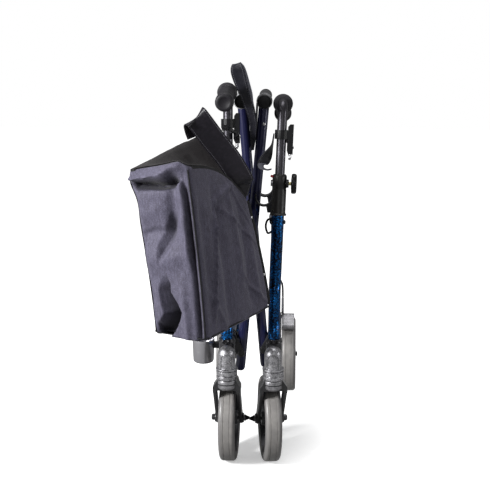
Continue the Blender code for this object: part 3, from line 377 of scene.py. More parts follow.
@dataclass(frozen=True)
class CastMetal:
    """Textured cast part: pebbled skin, darker in the pits, rubbed bright on edges."""

    name: str
    dark: Point
    light: Point
    pebble: float = 0.0014
    metallic: float = 0.75
    roughness: float = 0.36

    def make(self) -> bpy.types.Material:
        """Build the material.

        Returns:
            The material.
        """
        tree = Tree.material(self.name)
        pebble = tree.cells(1.0 / self.pebble, "SMOOTH_F1")
        mottle = tree.noise(120.0, 4.0)
        share = (pebble * 0.8 + mottle * 0.6).within(0.35, 0.95)
        colour = tree.mix(share, self.dark, self.light)
        colour = tree.mix(tree.edges() * 0.5, colour, (0.55, 0.55, 0.57))
        rough = self.roughness + mottle * 0.18
        normal = tree.relief(pebble, 0.00022, 0.6)
        return tree.finish(Base_Color=colour, Roughness=rough, Metallic=self.metallic, Normal=normal,
                           Coat_Weight=0.25, Coat_Roughness=0.12)


@dataclass(frozen=True)
class MouldedPlastic:
    """Spark-eroded moulded plastic with fine grain, flow marks and scuffs."""

    name: str
    colour: Point
    scuffed: Point
    roughness: float = 0.42
    grain: float = 0.0007
    grain_depth: float = 0.00006
    specular: float = 0.3

    def make(self) -> bpy.types.Material:
        """Build the material.

        Returns:
            The material.
        """
        tree = Tree.material(self.name)
        grain = tree.noise(1.0 / self.grain, 2.0)
        flow = tree.noise(35.0, 3.0)
        scuff = tree.noise(160.0, 5.0, stretch=(1, 0.3, 0.3)).within(0.66, 0.8)
        colour = tree.mix(scuff * 0.4 + tree.edges() * 0.35, tree.shade(self.colour, flow * 0.4 + 0.8),
                          self.scuffed)
        rough = self.roughness + flow * 0.1 + scuff * 0.15
        return tree.finish(Base_Color=colour, Roughness=rough, Specular_IOR_Level=self.specular,
                           Normal=tree.relief(grain, self.grain_depth, 0.6))


@dataclass(frozen=True)
class TyreRubber:
    """Non-marking grey polyurethane, dusty on the tread, with fine moulding rings.

    The UV map's V runs across the section in metres from one bead to the other.
    """

    name: str
    colour: Point
    dusty: Point
    middle: float
    ring: float = 0.0011

    def make(self) -> bpy.types.Material:
        """Build the material.

        Returns:
            The material.
        """
        tree = Tree.material(self.name)
        _, across = tree.cloth_axes()
        tread = 1 - (across - self.middle).size().within(0.01, 0.019)
        dust = tree.noise(60.0, 5.0).within(0.35, 0.75)
        specks = tree.noise(900.0, 2.0).within(0.62, 0.74)
        colour = tree.mix(tread * (dust * 0.5 + 0.4), self.colour, self.dusty)
        colour = tree.mix(specks * 0.35, colour, (0.4, 0.38, 0.36))
        rings = across.wave(self.ring)
        normal = tree.relief(rings, 0.00005, 0.5)
        normal = tree.relief(tree.noise(700.0, 3.0), 0.00012, 0.6, normal)
        rough = 0.4 + dust * 0.16 + tread * 0.06
        return tree.finish(Base_Color=colour, Roughness=rough, Normal=normal, Coat_Weight=0.25,
                           Coat_Roughness=0.3)


@dataclass(frozen=True)
class TurnedMetal:
    """Plated or anodised metal with fine turning lines and small scratches."""

    name: str
    colour: Point
    bright: Point
    roughness: float = 0.25
    metallic: float = 1.0

    def make(self) -> bpy.types.Material:
        """Build the material.

        Returns:
            The material.
        """
        tree = Tree.material(self.name)
        lines = tree.noise(300.0, 3.0, stretch=(1, 1, 0.08))
        marks = tree.noise(70.0, 6.0).within(0.58, 0.8)
        colour = tree.mix(marks * 0.5 + tree.edges() * 0.5, self.colour, self.bright)
        rough = self.roughness + lines * 0.12 + marks * 0.08
        return tree.finish(Base_Color=colour, Roughness=rough, Metallic=self.metallic,
                           Normal=tree.relief(lines, 0.00004, 0.4))


@dataclass(frozen=True)
class OxfordCloth:
    """Coated Oxford nylon: basket weave, speckled yarn, paler on sharp ridges, and painted shade darkening
    its folds and hollows.

    The UV map is in metres across and along the cloth.
    """

    name: str
    colour: Point
    speck: Point
    thread: float = 0.0013
    roughness: float = 0.62
    sheen: float = 0.1

    def make(self) -> bpy.types.Material:
        """Build the material.

        Returns:
            The material.
        """
        tree = Tree.material(self.name)
        across, along = tree.cloth_axes()
        weft = across.wave(self.thread)
        warp = along.wave(self.thread)
        weave = weft * warp
        yarn = tree.noise(650.0, 2.0)
        slub = tree.noise(260.0, 2.0, stretch=(1, 1, 0.3))
        cloud = tree.noise(22.0, 3.0)
        share = (yarn * 0.55 + slub * 0.35 + weave * 0.1 + cloud * 0.12).within(0.36, 0.8)
        colour = tree.mix(share, self.colour, self.speck)
        colour = tree.mix(tree.edges() * 0.25, colour, self.speck)
        # Painted shade: the colour darkens where ambient occlusion finds the cloth closed in, in folds,
        # creases and hollows.
        painted_fold_shade = tree.node("ShaderNodeAmbientOcclusion", {"samples": 8}, {"Distance": 0.045}, "AO")
        colour = tree.shade(colour, painted_fold_shade.within(0.3, 0.95) * 0.8 + 0.2)
        normal = tree.relief(weave, 0.0001, 0.7)
        normal = tree.relief(tree.noise(110.0, 3.0), 0.0005, 0.3, normal)
        return tree.finish(Base_Color=colour, Roughness=self.roughness + cloud * 0.12, Normal=normal,
                           Sheen_Weight=self.sheen, Sheen_Roughness=0.45, Specular_IOR_Level=0.3)


@dataclass(frozen=True)
class Webbing:
    """Woven strap: lengthwise ribs, a finer cross weave and two rows of stitches near the edges.

    The UV map's U is metres from the strap's middle and V metres along it.
    """

    name: str
    colour: Point
    lit: Point
    half_width: float = 0.026
    rib: float = 0.0016
    roughness: float = 0.42
    stitched: bool = True

    def make(self) -> bpy.types.Material:
        """Build the material.

        Returns:
            The material.
        """
        tree = Tree.material(self.name)
        across, along = tree.cloth_axes()
        ribs = across.wave(self.rib)
        picks = (along * (2 * math.pi / 0.0011) + across * 2400.0).math("SINE")
        weave = ribs * 0.6 + picks * 0.4
        streak = tree.noise(180.0, 4.0)
        colour = tree.mix((streak * 0.7 + weave * 0.12).within(0.3, 0.75), self.colour, self.lit)
        normal = tree.relief(weave, 0.00012, 0.6)
        if self.stitched:
            row = 1 - (across.size() - (self.half_width - 0.0035)).size().within(0.0003, 0.0006)
            dash = along.wave(0.0042).above(-0.35)
            thread = row * dash
            colour = tree.mix(thread * 0.75, colour, (0.16, 0.16, 0.18))
            normal = tree.relief(thread, 0.0004, 0.8, normal)
        return tree.finish(Base_Color=colour, Roughness=self.roughness + streak * 0.14, Normal=normal,
                           Sheen_Weight=0.02, Sheen_Roughness=0.4, Specular_IOR_Level=0.3)


class Palette:
    """Every finish of the walker, each made once."""

    LOOKS = (
        HammeredPaint("frame_blue_hammered", (0.0003, 0.0008, 0.006), (0.002, 0.13, 0.42), roughness=0.2),
        GlossEnamel("arm_navy_enamel", (0.006, 0.007, 0.042), (0.05, 0.05, 0.1), 0.3, 0.2),
        CastMetal("head_silver_cast", (0.08, 0.079, 0.086), (0.49, 0.486, 0.508), 0.0013, 0.88, 0.34),
        CastMetal("fork_graphite_cast", (0.006, 0.006, 0.007), (0.018, 0.018, 0.02), 0.0009, 0.2, 0.28),
        CastMetal("socket_dark_cast", (0.012, 0.012, 0.014), (0.06, 0.06, 0.066), 0.001, 0.75, 0.24),
        CastMetal("steering_cup_grey", (0.07, 0.069, 0.075), (0.365, 0.361, 0.378), 0.0009, 0.72, 0.28),
        MouldedPlastic("black_moulding", (0.004, 0.004, 0.005), (0.03, 0.03, 0.034), 0.34, specular=0.2),
        MouldedPlastic("lever_gloss_black", (0.004, 0.004, 0.005), (0.05, 0.05, 0.055), 0.16, specular=0.5),
        MouldedPlastic("sleeve_satin", (0.016, 0.015, 0.015), (0.08, 0.08, 0.08), 0.34),
        TurnedMetal("cup_grey_metal", (0.33, 0.326, 0.345), (0.55, 0.55, 0.57), 0.24, 0.85),
        # Pale grey for the seat rails' ribbed sleeves: a painted highlight of their tops lit from above.
        MouldedPlastic("cap_pale_plastic", (0.22, 0.22, 0.23), (0.42, 0.42, 0.43), 0.36),
        MouldedPlastic("hub_graphite", (0.04, 0.04, 0.043), (0.11, 0.11, 0.12), 0.38),
        MouldedPlastic("grip_rubber_soft", (0.011, 0.01, 0.013), (0.05, 0.05, 0.055), 0.5, 0.0011, 0.00016),
        MouldedPlastic("release_tab_red", (0.42, 0.01, 0.015), (0.55, 0.1, 0.1), 0.35),
        TyreRubber("tyre_warm_grey", (0.156, 0.15, 0.149), (0.26, 0.248, 0.236), 0.0345),
        TurnedMetal("handle_tube_black", (0.05, 0.048, 0.055), (0.15, 0.147, 0.16), 0.3, 0.85),
        TurnedMetal("bolt_black_oxide", (0.018, 0.018, 0.02), (0.2, 0.2, 0.21), 0.26, 0.8),
        TurnedMetal("screw_bright_zinc", (0.62, 0.62, 0.63), (0.8, 0.8, 0.8), 0.18),
        TurnedMetal("stem_olive_brass", (0.24, 0.22, 0.1), (0.5, 0.46, 0.26), 0.3),
        OxfordCloth("bag_oxford_nylon", (0.047, 0.043, 0.065), (0.145, 0.137, 0.2)),
        # Near-black cloth for the bag's top cover: painted shade.
        OxfordCloth("lid_black_nylon", (0.009, 0.007, 0.008), (0.03, 0.025, 0.027), 0.0013, 0.5, 0.05),
        OxfordCloth("sling_navy_mesh", (0.01, 0.01, 0.018), (0.04, 0.04, 0.06), 0.0022, 0.6, 0.1),
        Webbing("strap_satin_black", (0.006, 0.005, 0.008), (0.024, 0.02, 0.029), roughness=0.3),
        Webbing("piping_black", (0.005, 0.005, 0.006), (0.014, 0.014, 0.017), 0.006, 0.0016, 0.6, False),
        Webbing("loop_black", (0.01, 0.01, 0.013), (0.035, 0.035, 0.045), 0.015),
        # Pale copy of the loop webbing: a painted highlight for loop faces that catch the light.
        Webbing("loop_pale_lining", (0.19, 0.19, 0.23), (0.3, 0.3, 0.35), 0.015),
        Webbing("pull_strap_navy", (0.003, 0.003, 0.007), (0.012, 0.011, 0.024), 0.015, roughness=0.34),
    )

    def __init__(self) -> None:
        """Make every finish."""
        self.made = {look.name: look.make() for look in self.LOOKS}

    def __getitem__(self, name: str) -> bpy.types.Material:
        """Finish by its name."""
        return self.made[name]


# ---- mesh kit


def axis_matrix(origin: Point, direction: Point, start: Point | None = None) -> Matrix:
    """Frame whose +Z points along a direction.

    Args:
        origin: Where the frame sits.
        direction: Where +Z points.
        start: Where +X points, as near as it can.

    Returns:
        The frame as a matrix.
    """
    z_axis = Vector(direction).normalized()
    x_axis = Vector(start) if start else z_axis.orthogonal()
    x_axis = (x_axis - z_axis * x_axis.dot(z_axis)).normalized()
    turn = Matrix((x_axis, z_axis.cross(x_axis), z_axis)).transposed().to_4x4()
    return Matrix.Translation(origin) @ turn


def quad(bm: Shape, corners: Sequence[bmesh.types.BMVert], flat: Sequence[Point]) -> None:
    """Add a face, leaving out corners that fall together.

    Args:
        bm: Shape that holds the corners.
        corners: The face's corners.
        flat: UV of each corner.
    """
    kept = [(v, uv) for i, (v, uv) in enumerate(zip(corners, flat)) if v not in corners[:i]]
    if len(kept) < 3:
        return
    layer = bm.loops.layers.uv.verify()
    face = bm.faces.new([v for v, _ in kept])
    for loop, (_, uv) in zip(face.loops, kept):
        loop[layer].uv = uv


def join(bm: Shape, low: Sequence, high: Sequence, flat: Sequence[Point], beyond: Sequence[Point]) -> None:
    """Join two rings of corners with faces.

    Args:
        bm: Shape that holds the rings.
        low: Corners of the first ring.
        high: Corners of the second ring.
        flat: UV of each corner of the first ring, and of its first corner come round again.
        beyond: The same for the second ring.
    """
    for i in range(len(low)):
        j = (i + 1) % len(low)
        quad(bm, (low[i], low[j], high[j], high[i]), (flat[i], flat[i + 1], beyond[i + 1], beyond[i]))


def mm(*steps: Point, out: float = 0.0, up: float = 0.0) -> Outline:
    """Points written in millimetres, moved by out and up in metres."""
    return [(out + 0.001 * a, up + 0.001 * b) for a, b in steps]


def lathe(profile: Sequence[Point], matrix: Matrix, steps: int = 56, closed: bool = False) -> Shape:
    """Revolve a profile about the matrix's Z axis.

    Args:
        profile: Points (radius, height).
        matrix: Frame of the axis.
        steps: Facets round the axis.
        closed: Whether the profile's ends join, as for a ring.

    Returns:
        The closed shape, with U round it and V along the profile in metres.
    """
    bm = bmesh.new()
    rings = []
    for radius, height in profile:
        if radius < 1e-7:
            rings.append([bm.verts.new(matrix @ Vector((0, 0, height)))] * steps)
        else:
            spots = [2 * math.pi * i / steps for i in range(steps)]
            rings.append([bm.verts.new(matrix @ Vector((radius * math.cos(a), radius * math.sin(a), height)))
                          for a in spots])
    points = list(profile) + ([profile[0]] if closed else [])
    rings += [rings[0]] if closed else []
    reach = max(r for r, _ in profile) * 2 * math.pi
    run = 0.0
    for (low, after), (ring, above) in zip(zip(points, points[1:]), zip(rings, rings[1:])):
        ahead = run + math.hypot(after[0] - low[0], after[1] - low[1])
        join(bm, ring, above, *[[(reach * i / steps, v) for i in range(steps + 1)] for v in (run, ahead)])
        run = ahead
    return bm


def rod(start: Point, end: Point, radius: float, steps: int = 32, soft: float = 0.0) -> Shape:
    """Closed cylinder.

    Args:
        start: Centre of one end.
        end: Centre of the other end.
        radius: Its radius.
        steps: Facets round it.
        soft: Radius of its rounded rims.

    Returns:
        The closed shape.
    """
    length = (Vector(end) - Vector(start)).length
    rim = [(radius - soft * (1 - math.cos(a)), soft * (1 - math.sin(a))) for a in (0, 0.52, 1.05, 1.57)]
    low = [(r, h) for r, h in reversed(rim)] if soft else [(radius, 0)]
    high = [(r, length - h) for r, h in rim] if soft else [(radius, length)]
    profile = [(0, 0), *low, *high, (0, length)]
    return lathe(profile, axis_matrix(start, Vector(end) - Vector(start)), steps)


def arc(centre: Point, radius: float, start: float, end: float, steps: int) -> Outline:
    """Points on an arc in a plane, from start to end in degrees."""
    angles = [math.radians(start + (end - start) * i / steps) for i in range(steps + 1)]
    return [(centre[0] + radius * math.cos(a), centre[1] + radius * math.sin(a)) for a in angles]


def bent_path(corners: Sequence[Point], radius: float, steps: int = 14) -> list[Vector]:
    """Straight runs between corners with a round bend of the radius at each inner corner.

    Args:
        corners: The path's corners.
        radius: Bend radius on the centre line.
        steps: Spans in each bend.

    Returns:
        Points along the path.
    """
    spots = [Vector(c) for c in corners]
    points = [spots[0]]
    for before, corner, after in zip(spots, spots[1:], spots[2:]):
        a = (before - corner).normalized()
        b = (after - corner).normalized()
        half = a.angle(b) / 2
        centre = corner + (a + b).normalized() * (radius / math.sin(half))
        start = corner + a * (radius / math.tan(half)) - centre
        end = corner + b * (radius / math.tan(half)) - centre
        turn = start.angle(end)
        for i in range(steps + 1):
            share = i / steps
            spoke = start * math.sin((1 - share) * turn) + end * math.sin(share * turn)
            points.append(centre + spoke / math.sin(turn))
    return points + [spots[-1]]


def smooth_path(knots: Sequence[Point], per_span: int = 10) -> list[Vector]:
    """Smooth curve through knots.

    Args:
        knots: Points that it passes.
        per_span: Spans between two knots.

    Returns:
        Points along the curve.
    """
    spots = [Vector(k) for k in knots]
    padded = [2 * spots[0] - spots[1]] + spots + [2 * spots[-1] - spots[-2]]
    points = []
    for a, b, c, d in zip(padded, padded[1:], padded[2:], padded[3:]):
        for i in range(per_span):
            t = i / per_span
            points.append(0.5 * (2 * b + (c - a) * t + (2 * a - 5 * b + 4 * c - d) * t ** 2
                                 + (3 * b - a - 3 * c + d) * t ** 3))
    return points + [spots[-1]]


def even_path(points: Sequence[Vector], step: float) -> list[Vector]:
    """Path with points at an even distance.

    Args:
        points: The path.
        step: About how far apart its points come to stand.

    Returns:
        Points along the same path.
    """
    kept = [points[0]]
    for before, after in zip(points, points[1:]):
        gap = (after - before).length
        count = max(1, round(gap / step))
        kept += [before.lerp(after, (i + 1) / count) for i in range(count)]
    return kept


def round_section(radius: float, sides: int = 32) -> Outline:
    """Circle as a closed section."""
    return [(radius * math.cos(2 * math.pi * i / sides), radius * math.sin(2 * math.pi * i / sides))
            for i in range(sides)]


def strap_section(width: float, thickness: float, cup: float = 0.0, cells: int = 12) -> Outline:
    """Flat strap's closed section with rounded selvedges.

    Args:
        width: Width of the strap.
        thickness: Thickness of the strap.
        cup: How far the middle stands above the edges.
        cells: Spans across the width.

    Returns:
        Points (across, up).
    """
    half = width / 2 - thickness / 2
    across = [half * (2 * i / cells - 1) for i in range(cells + 1)]
    lower = [(x, cup * (1 - (x / half) ** 2) - thickness / 2) for x in across]
    upper = [(x, cup * (1 - (x / half) ** 2) + thickness / 2) for x in reversed(across)]
    right = arc((half, 0), thickness / 2, -60, 60, 4)
    left = arc((-half, 0), thickness / 2, 120, 240, 4)
    return lower + right + upper + left


def sweep(path: Sequence[Vector], section: Sequence[Point], side: Point = (1, 0, 0),
          scales: Sequence[float] | None = None, sides: Sequence[Point] | None = None,
          looped: bool = False) -> Shape:
    """Carry a closed section along a path.

    Args:
        path: Points of the path.
        section: Closed section, points (across, up).
        side: Direction that the section's first axis keeps nearest to.
        scales: Size of the section at each point.
        sides: That direction at each point, instead of side.
        looped: Whether the path's ends join.

    Returns:
        The closed shape, with U across the section and V along the path in metres.
    """
    bm = bmesh.new()
    rings = []
    runs = [0]
    count = len(path)
    for i, point in enumerate(path):
        after = path[(i + 1) % count] if looped else path[min(i + 1, count - 1)]
        before = path[i - 1] if looped or i else path[0]
        tangent = (after - before).normalized()
        across = Vector(sides[i] if sides else side)
        across = (across - tangent * across.dot(tangent)).normalized()
        up = tangent.cross(across)
        scale = scales[i] if scales else 1.0
        rings.append([bm.verts.new(point + (across * a + up * b) * scale) for a, b in section])
        runs.append(runs[-1] + (after - point).length)
    spans = list(zip(rings, rings[1:])) + ([(rings[-1], rings[0])] if looped else [])
    for (ring, after), *ends in zip(spans, runs, runs[1:]):
        join(bm, ring, after, *[[(across, end) for across, _ in (*section, section[0])] for end in ends])
    if not looped:
        for ring in (rings[0], rings[-1]):
            quad(bm, ring, [(a, b) for a, b in section])
    return bm


def slab(outline: Sequence[Point], place: Placer, low: float, high: float) -> Shape:
    """Plane outline with a thickness.

    Args:
        outline: Points (a, b).
        place: Turns (a, b, depth) into a point.
        low: Depth of the near face.
        high: Depth of the far face.

    Returns:
        The closed shape.
    """
    bm = bmesh.new()
    near = [bm.verts.new(place(a, b, low)) for a, b in outline]
    far = [bm.verts.new(place(a, b, high)) for a, b in outline]
    quad(bm, near, outline)
    quad(bm, far, outline)
    join(bm, near, far, [*outline, outline[0]], [*outline, outline[0]])
    return bm


def mesh_of(bm: Shape, name: str = "part") -> bpy.types.Mesh:
    """Turn a shape, which is used up, into a mesh.

    Args:
        bm: The shape.
        name: Name of the mesh.

    Returns:
        The mesh.
    """
    mesh = bpy.data.meshes.new(name)
    bm.to_mesh(mesh)
    bm.free()
    return mesh


def stand(name: str, data: bpy.types.ID) -> bpy.types.Object:
    """Put a new object into the scene.

    Args:
        name: Its name.
        data: Its mesh, lamp or camera.

    Returns:
        The object.
    """
    thing = bpy.data.objects.new(name, data)
    bpy.context.scene.collection.objects.link(thing)
    return thing


def gather(*parts: Shape) -> Shape:
    """Put several shapes into the first one.

    Args:
        parts: The shapes.

    Returns:
        The first one, now with all.
    """
    whole = parts[0]
    for part in parts[1:]:
        mesh = mesh_of(part)
        whole.from_mesh(mesh)
        bpy.data.meshes.remove(mesh)
    return whole


def through(bm: Shape, *steps: tuple[str, dict], tool: Shape | None = None) -> Shape:
    """Run Blender modifiers over a shape.

    Args:
        bm: The shape.
        steps: Modifier types with their settings.
        tool: Shape that a Boolean step cuts with.

    Returns:
        The changed shape.
    """
    blanks = []
    for shape in (bm, tool) if tool else (bm,):
        bmesh.ops.recalc_face_normals(shape, faces=shape.faces)
        blanks.append(stand("blank", mesh_of(shape)))
    for kind, settings in steps:
        modifier = blanks[0].modifiers.new(kind.lower(), kind)
        for key, value in settings.items():
            setattr(modifier, key, value)
        if kind == "BOOLEAN":
            modifier.object = blanks[1]
    result = bpy.data.meshes.new_from_object(blanks[0].evaluated_get(bpy.context.evaluated_depsgraph_get()))
    changed = bmesh.new()
    changed.from_mesh(result)
    for mesh in [result] + [blank.data for blank in blanks]:
        bpy.data.meshes.remove(mesh)
    return changed


def cut(bm: Shape, tool: Shape) -> Shape:
    """Shape with the tool's space taken out of it."""
    return through(bm, ("BOOLEAN", {"operation": "DIFFERENCE", "solver": "EXACT"}), tool=tool)


def cast(bm: Shape, grain: float = 0.0009, rounds: int = 4) -> Shape:
    """Fuse closed shapes into one body on a voxel grain, with fillets from rounds of smoothing."""
    return through(bm, ("REMESH", {"mode": "VOXEL", "voxel_size": grain, "adaptivity": 0.0}),
                   ("SMOOTH", {"factor": 0.5, "iterations": rounds}))


def cad_copy(node: str) -> Shape:
    """Copy a CAD node's mesh, welded, into the walker's own frame.

    Args:
        node: Name of the node.

    Returns:
        The copy.
    """
    bm = bmesh.new()
    bm.from_mesh(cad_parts[node].data)
    bmesh.ops.remove_doubles(bm, verts=bm.verts, dist=2e-6)
    bmesh.ops.translate(bm, verts=bm.verts, vec=-ORIGIN)
    return bm


def cap_screw(at: Point, outward: Point, radius: float = 0.0042) -> Shape:
    """Cap screw with a domed head and a hexagon socket.

    Args:
        at: Where its seat is.
        outward: Where its head points.
        radius: Radius of its head.

    Returns:
        The closed shape.
    """
    tall = radius * 0.85
    socket = radius * 0.42
    head = [(0, -0.002), (radius * 0.7, -0.002), (radius, 0), (radius, tall * 0.55)]
    head += [(radius * math.cos(a), tall * (0.55 + 0.45 * math.sin(a))) for a in (0.4, 0.8, 1.05)]
    head += [(socket, tall), (socket * 0.98, tall * 0.35), (0, tall * 0.35)]
    return lathe(head, axis_matrix(at, outward), 24)


@dataclass
class Fitter:
    """Turns shapes into finished pieces on their bodies."""

    palette: Palette
    fitted: list[str] = field(default_factory=list)

    def fit(self, name: str, bm: Shape, finish: str, body: str, *nodes: str,
            slot: str = "", sharp: float = 38.0, extra: Sequence[str] = ()) -> bpy.types.Object:
        """Finish one piece.

        Args:
            name: Name of the piece.
            bm: Its shape in the walker's own frame.
            finish: Name of its finish.
            body: CAD body that it moves with, or nothing for a piece left on no body.
            nodes: CAD nodes that it stands for.
            slot: The record's material slot; not used.
            sharp: Angle from which an edge shades sharp, in degrees.
            extra: Further finishes, for faces with a higher material number.

        Returns:
            The piece.
        """
        bmesh.ops.recalc_face_normals(bm, faces=bm.faces)
        bmesh.ops.translate(bm, verts=bm.verts, vec=ORIGIN)
        mesh = mesh_of(bm, name)
        for look in (finish, *extra):
            mesh.materials.append(self.palette[look])
        mesh.shade_smooth()
        mesh.set_sharp_from_angle(angle=math.radians(sharp))
        piece = stand(name, mesh)
        if body:
            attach(piece, body)
        if nodes:
            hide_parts(*nodes)
        self.fitted.append(name)
        LOG.info("%s: %d faces on %s", name, len(mesh.polygons), body or "two bodies")
        return piece

    def dress(self, node: str, finish: str) -> None:
        """Give a carried-over CAD node its finish."""
        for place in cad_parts[node].material_slots:
            place.material = self.palette[finish]
        LOG.info("%s: CAD node in %s", node, finish)


@dataclass
class Assembly:
    """What every sub-assembly shares; its own body and the end of its pieces' names are set by each."""

    fitter: Fitter
    ending: ClassVar[str] = ""

    def put(self, name: str, shape: Shape, finish: str, *nodes: str, body: str | None = None,
            **more: str | float | Sequence[str]) -> bpy.types.Object:
        """Fit a piece; its name and its CAD nodes get the ending, and more goes to fit."""
        return self.fitter.fit(name + self.ending, shape, finish, self.body if body is None else body,
                               *[node + self.ending for node in nodes], **more)


@dataclass
class SideAssembly(Assembly):
    """A sub-assembly that each side has, on a body named for the side."""

    side: Side
    bodies: ClassVar[str] = "{}_frame"

    def __post_init__(self) -> None:
        """Work out the body, the names' ending, the outward direction and the post."""
        self.body = self.bodies.format(self.side.label)
        self.ending = f"_{self.side.label}"
        self.outward = Vector((self.side.value, 0, 0))
        self.post = Post(self.side)

    def put_cast(self, name: str, node: str, finish: str, grain: float, rounds: int,
                 **more: str) -> bpy.types.Object:
        """Fit a casting with its CAD node's own shape, fused on a grain and smoothed in rounds."""
        return self.put(name, cast(cad_copy(node + self.ending), grain, rounds), finish, node, **more)


# ---- wheels and casters


@dataclass
class Wheel(Assembly):
    """Solid tyre on a five-window moulded hub with ball bearings."""

    prefix: str
    body: str
    centre: Vector
    axis: Vector
    tyre_depth: float = 0.02
    boss_radius: float = 0.015
    axle_radius: float = 0.004
    windows: int = 5
    window_radius: float = 0.0155

    @property
    def frame(self) -> Matrix:
        """Frame whose Z is the wheel's axis."""
        return axis_matrix(self.centre, self.axis, (0, 0, -1))

    def tyre(self) -> Shape:
        """Tyre with a flat tread between two fine grooves, round shoulders and a bead step.

        Returns:
            The closed shape.
        """
        half = WHEEL_WIDTH / 2
        shoulder = 0.0085
        inner = WHEEL_RADIUS - self.tyre_depth
        outer = arc((WHEEL_RADIUS - shoulder, half - shoulder), shoulder, 0, 78, 9)
        upper = mm((0.2, 0), (0, 6.4), (-1, 7.1), (0, 7.8), out=WHEEL_RADIUS) + outer
        upper += mm((6, 0), (4.8, -1.2), (0, -1.6), out=inner, up=half)
        profile = [(r, -w) for r, w in reversed(upper[1:])] + upper
        return lathe(profile, self.frame, 120, closed=True)

    def hub(self) -> Shape:
        """Hub: deep rim, thin web with round windows, and the bearing boss.

        Returns:
            The closed shape.
        """
        rim = WHEEL_RADIUS - self.tyre_depth - GAP
        half = mm((0, 16), (-1.2, 16.6), (-4.8, 16), (-7, 10.5), (-12.8, 4), (-16, 3.5), out=rim)
        half += mm((8.5, 3.5), (2.8, 8.5), (0.4, 19), (-0.8, 19.8), out=self.boss_radius)
        half += [*mm((13.2, 19.8), (12.8, 18.2)), (self.axle_radius + GAP, 0.0182)]
        profile = [(r, -w) for r, w in reversed(half)] + half
        shape = lathe(profile, self.frame, 90, closed=True)
        ring = (rim - 0.014 + self.boss_radius + 0.006) / 2
        holes = []
        for i in range(self.windows):
            angle = 2 * math.pi * i / self.windows
            spot = Vector((ring * math.cos(angle), ring * math.sin(angle), -0.02))
            holes.append(rod(self.frame @ spot, self.frame @ (spot + UP * 0.04), self.window_radius, 40))
        return cut(shape, gather(*holes))

    def bearings(self) -> Shape:
        """Bright bearing shield in each end of the boss.

        Returns:
            Both shields.
        """
        bore = self.axle_radius + 0.0006
        ring = mm((12.6, 15), (12.6, 18.8), (11.2, 18.8), (10.4, 18.4), (7.4, 18.4), (6.6, 19))
        ring = [(bore, 0.015), *ring, (bore, 0.019)]
        shields = [lathe([(r, end * h) for r, h in ring], self.frame, 36, closed=True) for end in (-1, 1)]
        return gather(*shields)

    def ribs(self) -> Shape:
        """Stiffening ribs on both faces of the web, between the windows.

        Returns:
            All ribs.
        """
        bars = []
        outline = mm((19.5, 2), (68, 2), (70, 9), (66, 6.2), (23, 6.2), (19, 10))
        for i in range(self.windows):
            angle = 2 * math.pi * (i + 0.5) / self.windows
            way = Vector((math.cos(angle), math.sin(angle), 0))
            flank = Vector((-way.y, way.x, 0)) * 0.0016
            for end in (-1, 1):

                def place(a: float, b: float, depth: float) -> Vector:
                    """Point of the rib from (radius, height, share across it)."""
                    return self.frame @ (way * a + flank * depth + Vector((0, 0, end * b)))

                bars.append(slab(outline, place, -1.0, 1.0))
        return gather(*bars)

    def build(self) -> None:
        """Fit the wheel's pieces."""
        self.put(f"{self.prefix}_tyre_skin", self.tyre(), "tyre_warm_grey", f"{self.prefix}_tyre",
                 slot="tyre_grey")
        self.put(f"{self.prefix}_hub_moulding", self.hub(), "hub_graphite", f"{self.prefix}_hub",
                 slot="fork_graphite")
        self.put(f"{self.prefix}_hub_ribs", self.ribs(), "hub_graphite")
        self.put(f"{self.prefix}_bearings", self.bearings(), "screw_bright_zinc")


@dataclass
class Caster(SideAssembly):
    """Swivelling front fork with its wheel and pointed axle caps."""

    turn: dict[Side, float] = field(default_factory=lambda: {Side.RIGHT: 7.5, Side.LEFT: -2.0})
    tyre_gap: float = 0.0045
    fork_arm: float = 0.007
    cup_radius: float = 0.0213
    crown_top: float = 0.204267
    bodies: ClassVar[str] = "caster_fork_{}"

    def point(self, out: float, back: float, height: float) -> Vector:
        """Point from the steering axis: outward, along the trail, and up."""
        turned = Matrix.Rotation(math.radians(self.turn[self.side]), 3, "Z") @ Vector(
            (self.side.value * out, back, 0))
        return Vector((self.side.value * STEER_HALF, -TRAIL, height)) + turned

    def axle(self, centre: Vector, line: Vector) -> Shape:
        """Axle bolt with a stepped head and a pointed cap nut.

        Args:
            centre: The wheel's centre.
            line: Direction of the axle, outward.

        Returns:
            The closed shape.
        """
        seat = WHEEL_WIDTH / 2 + self.tyre_gap + self.fork_arm + 0.0035 + GAP
        profile = mm((0, -7.2), (5.2, -7.2), (6, -6.4), (7.2, -5), (7.2, 0), (4, 0), up=-seat)
        profile += mm((4, 0), (7.2, 0), (7.2, 3), (6.6, 4.2), (4.8, 6.8), (4.2, 9), (2.8, 12.5), (1.4, 13.8),
                      (0, 14), up=seat)
        return lathe(profile, axis_matrix(centre, -line), 32)

    def steering_cup(self) -> Shape:
        """Ringed bearing cup on the fork's crown.

        Returns:
            The closed shape.
        """
        low = self.crown_top - 0.006
        rings = mm((-4, -2.2), (-3.4, -1), (0, 1.2), (1, 4), (1, 10), (-1.6, 10.6), (-1.6, 12.2), (1, 12.8),
                   (1, 19), (0.2, 20.5), (-1.5, 21.7), out=self.cup_radius, up=low)
        profile = [(0, rings[0][1]), *rings, (0, rings[-1][1])]
        return lathe(profile, axis_matrix(self.point(0, 0, 0), UP), 64)

    def build(self) -> None:
        """Fit the fork, the axle and the wheel."""
        centre = self.point(0.0, TRAIL, WHEEL_RADIUS)
        line = self.point(1.0, TRAIL, WHEEL_RADIUS) - centre
        self.put_cast("fork_casting", "caster_fork", "fork_graphite_cast", 0.0009, 6, slot="fork_graphite")
        self.put("steering_cup", self.steering_cup(), "steering_cup_grey")
        self.put("axle_bolt_front", self.axle(centre, line), "bolt_black_oxide", "caster_axle",
                 slot="bolt_black")
        Wheel(self.fitter, f"caster{self.ending}", f"caster_wheel{self.ending}", centre, line).build()


# ---- side frames


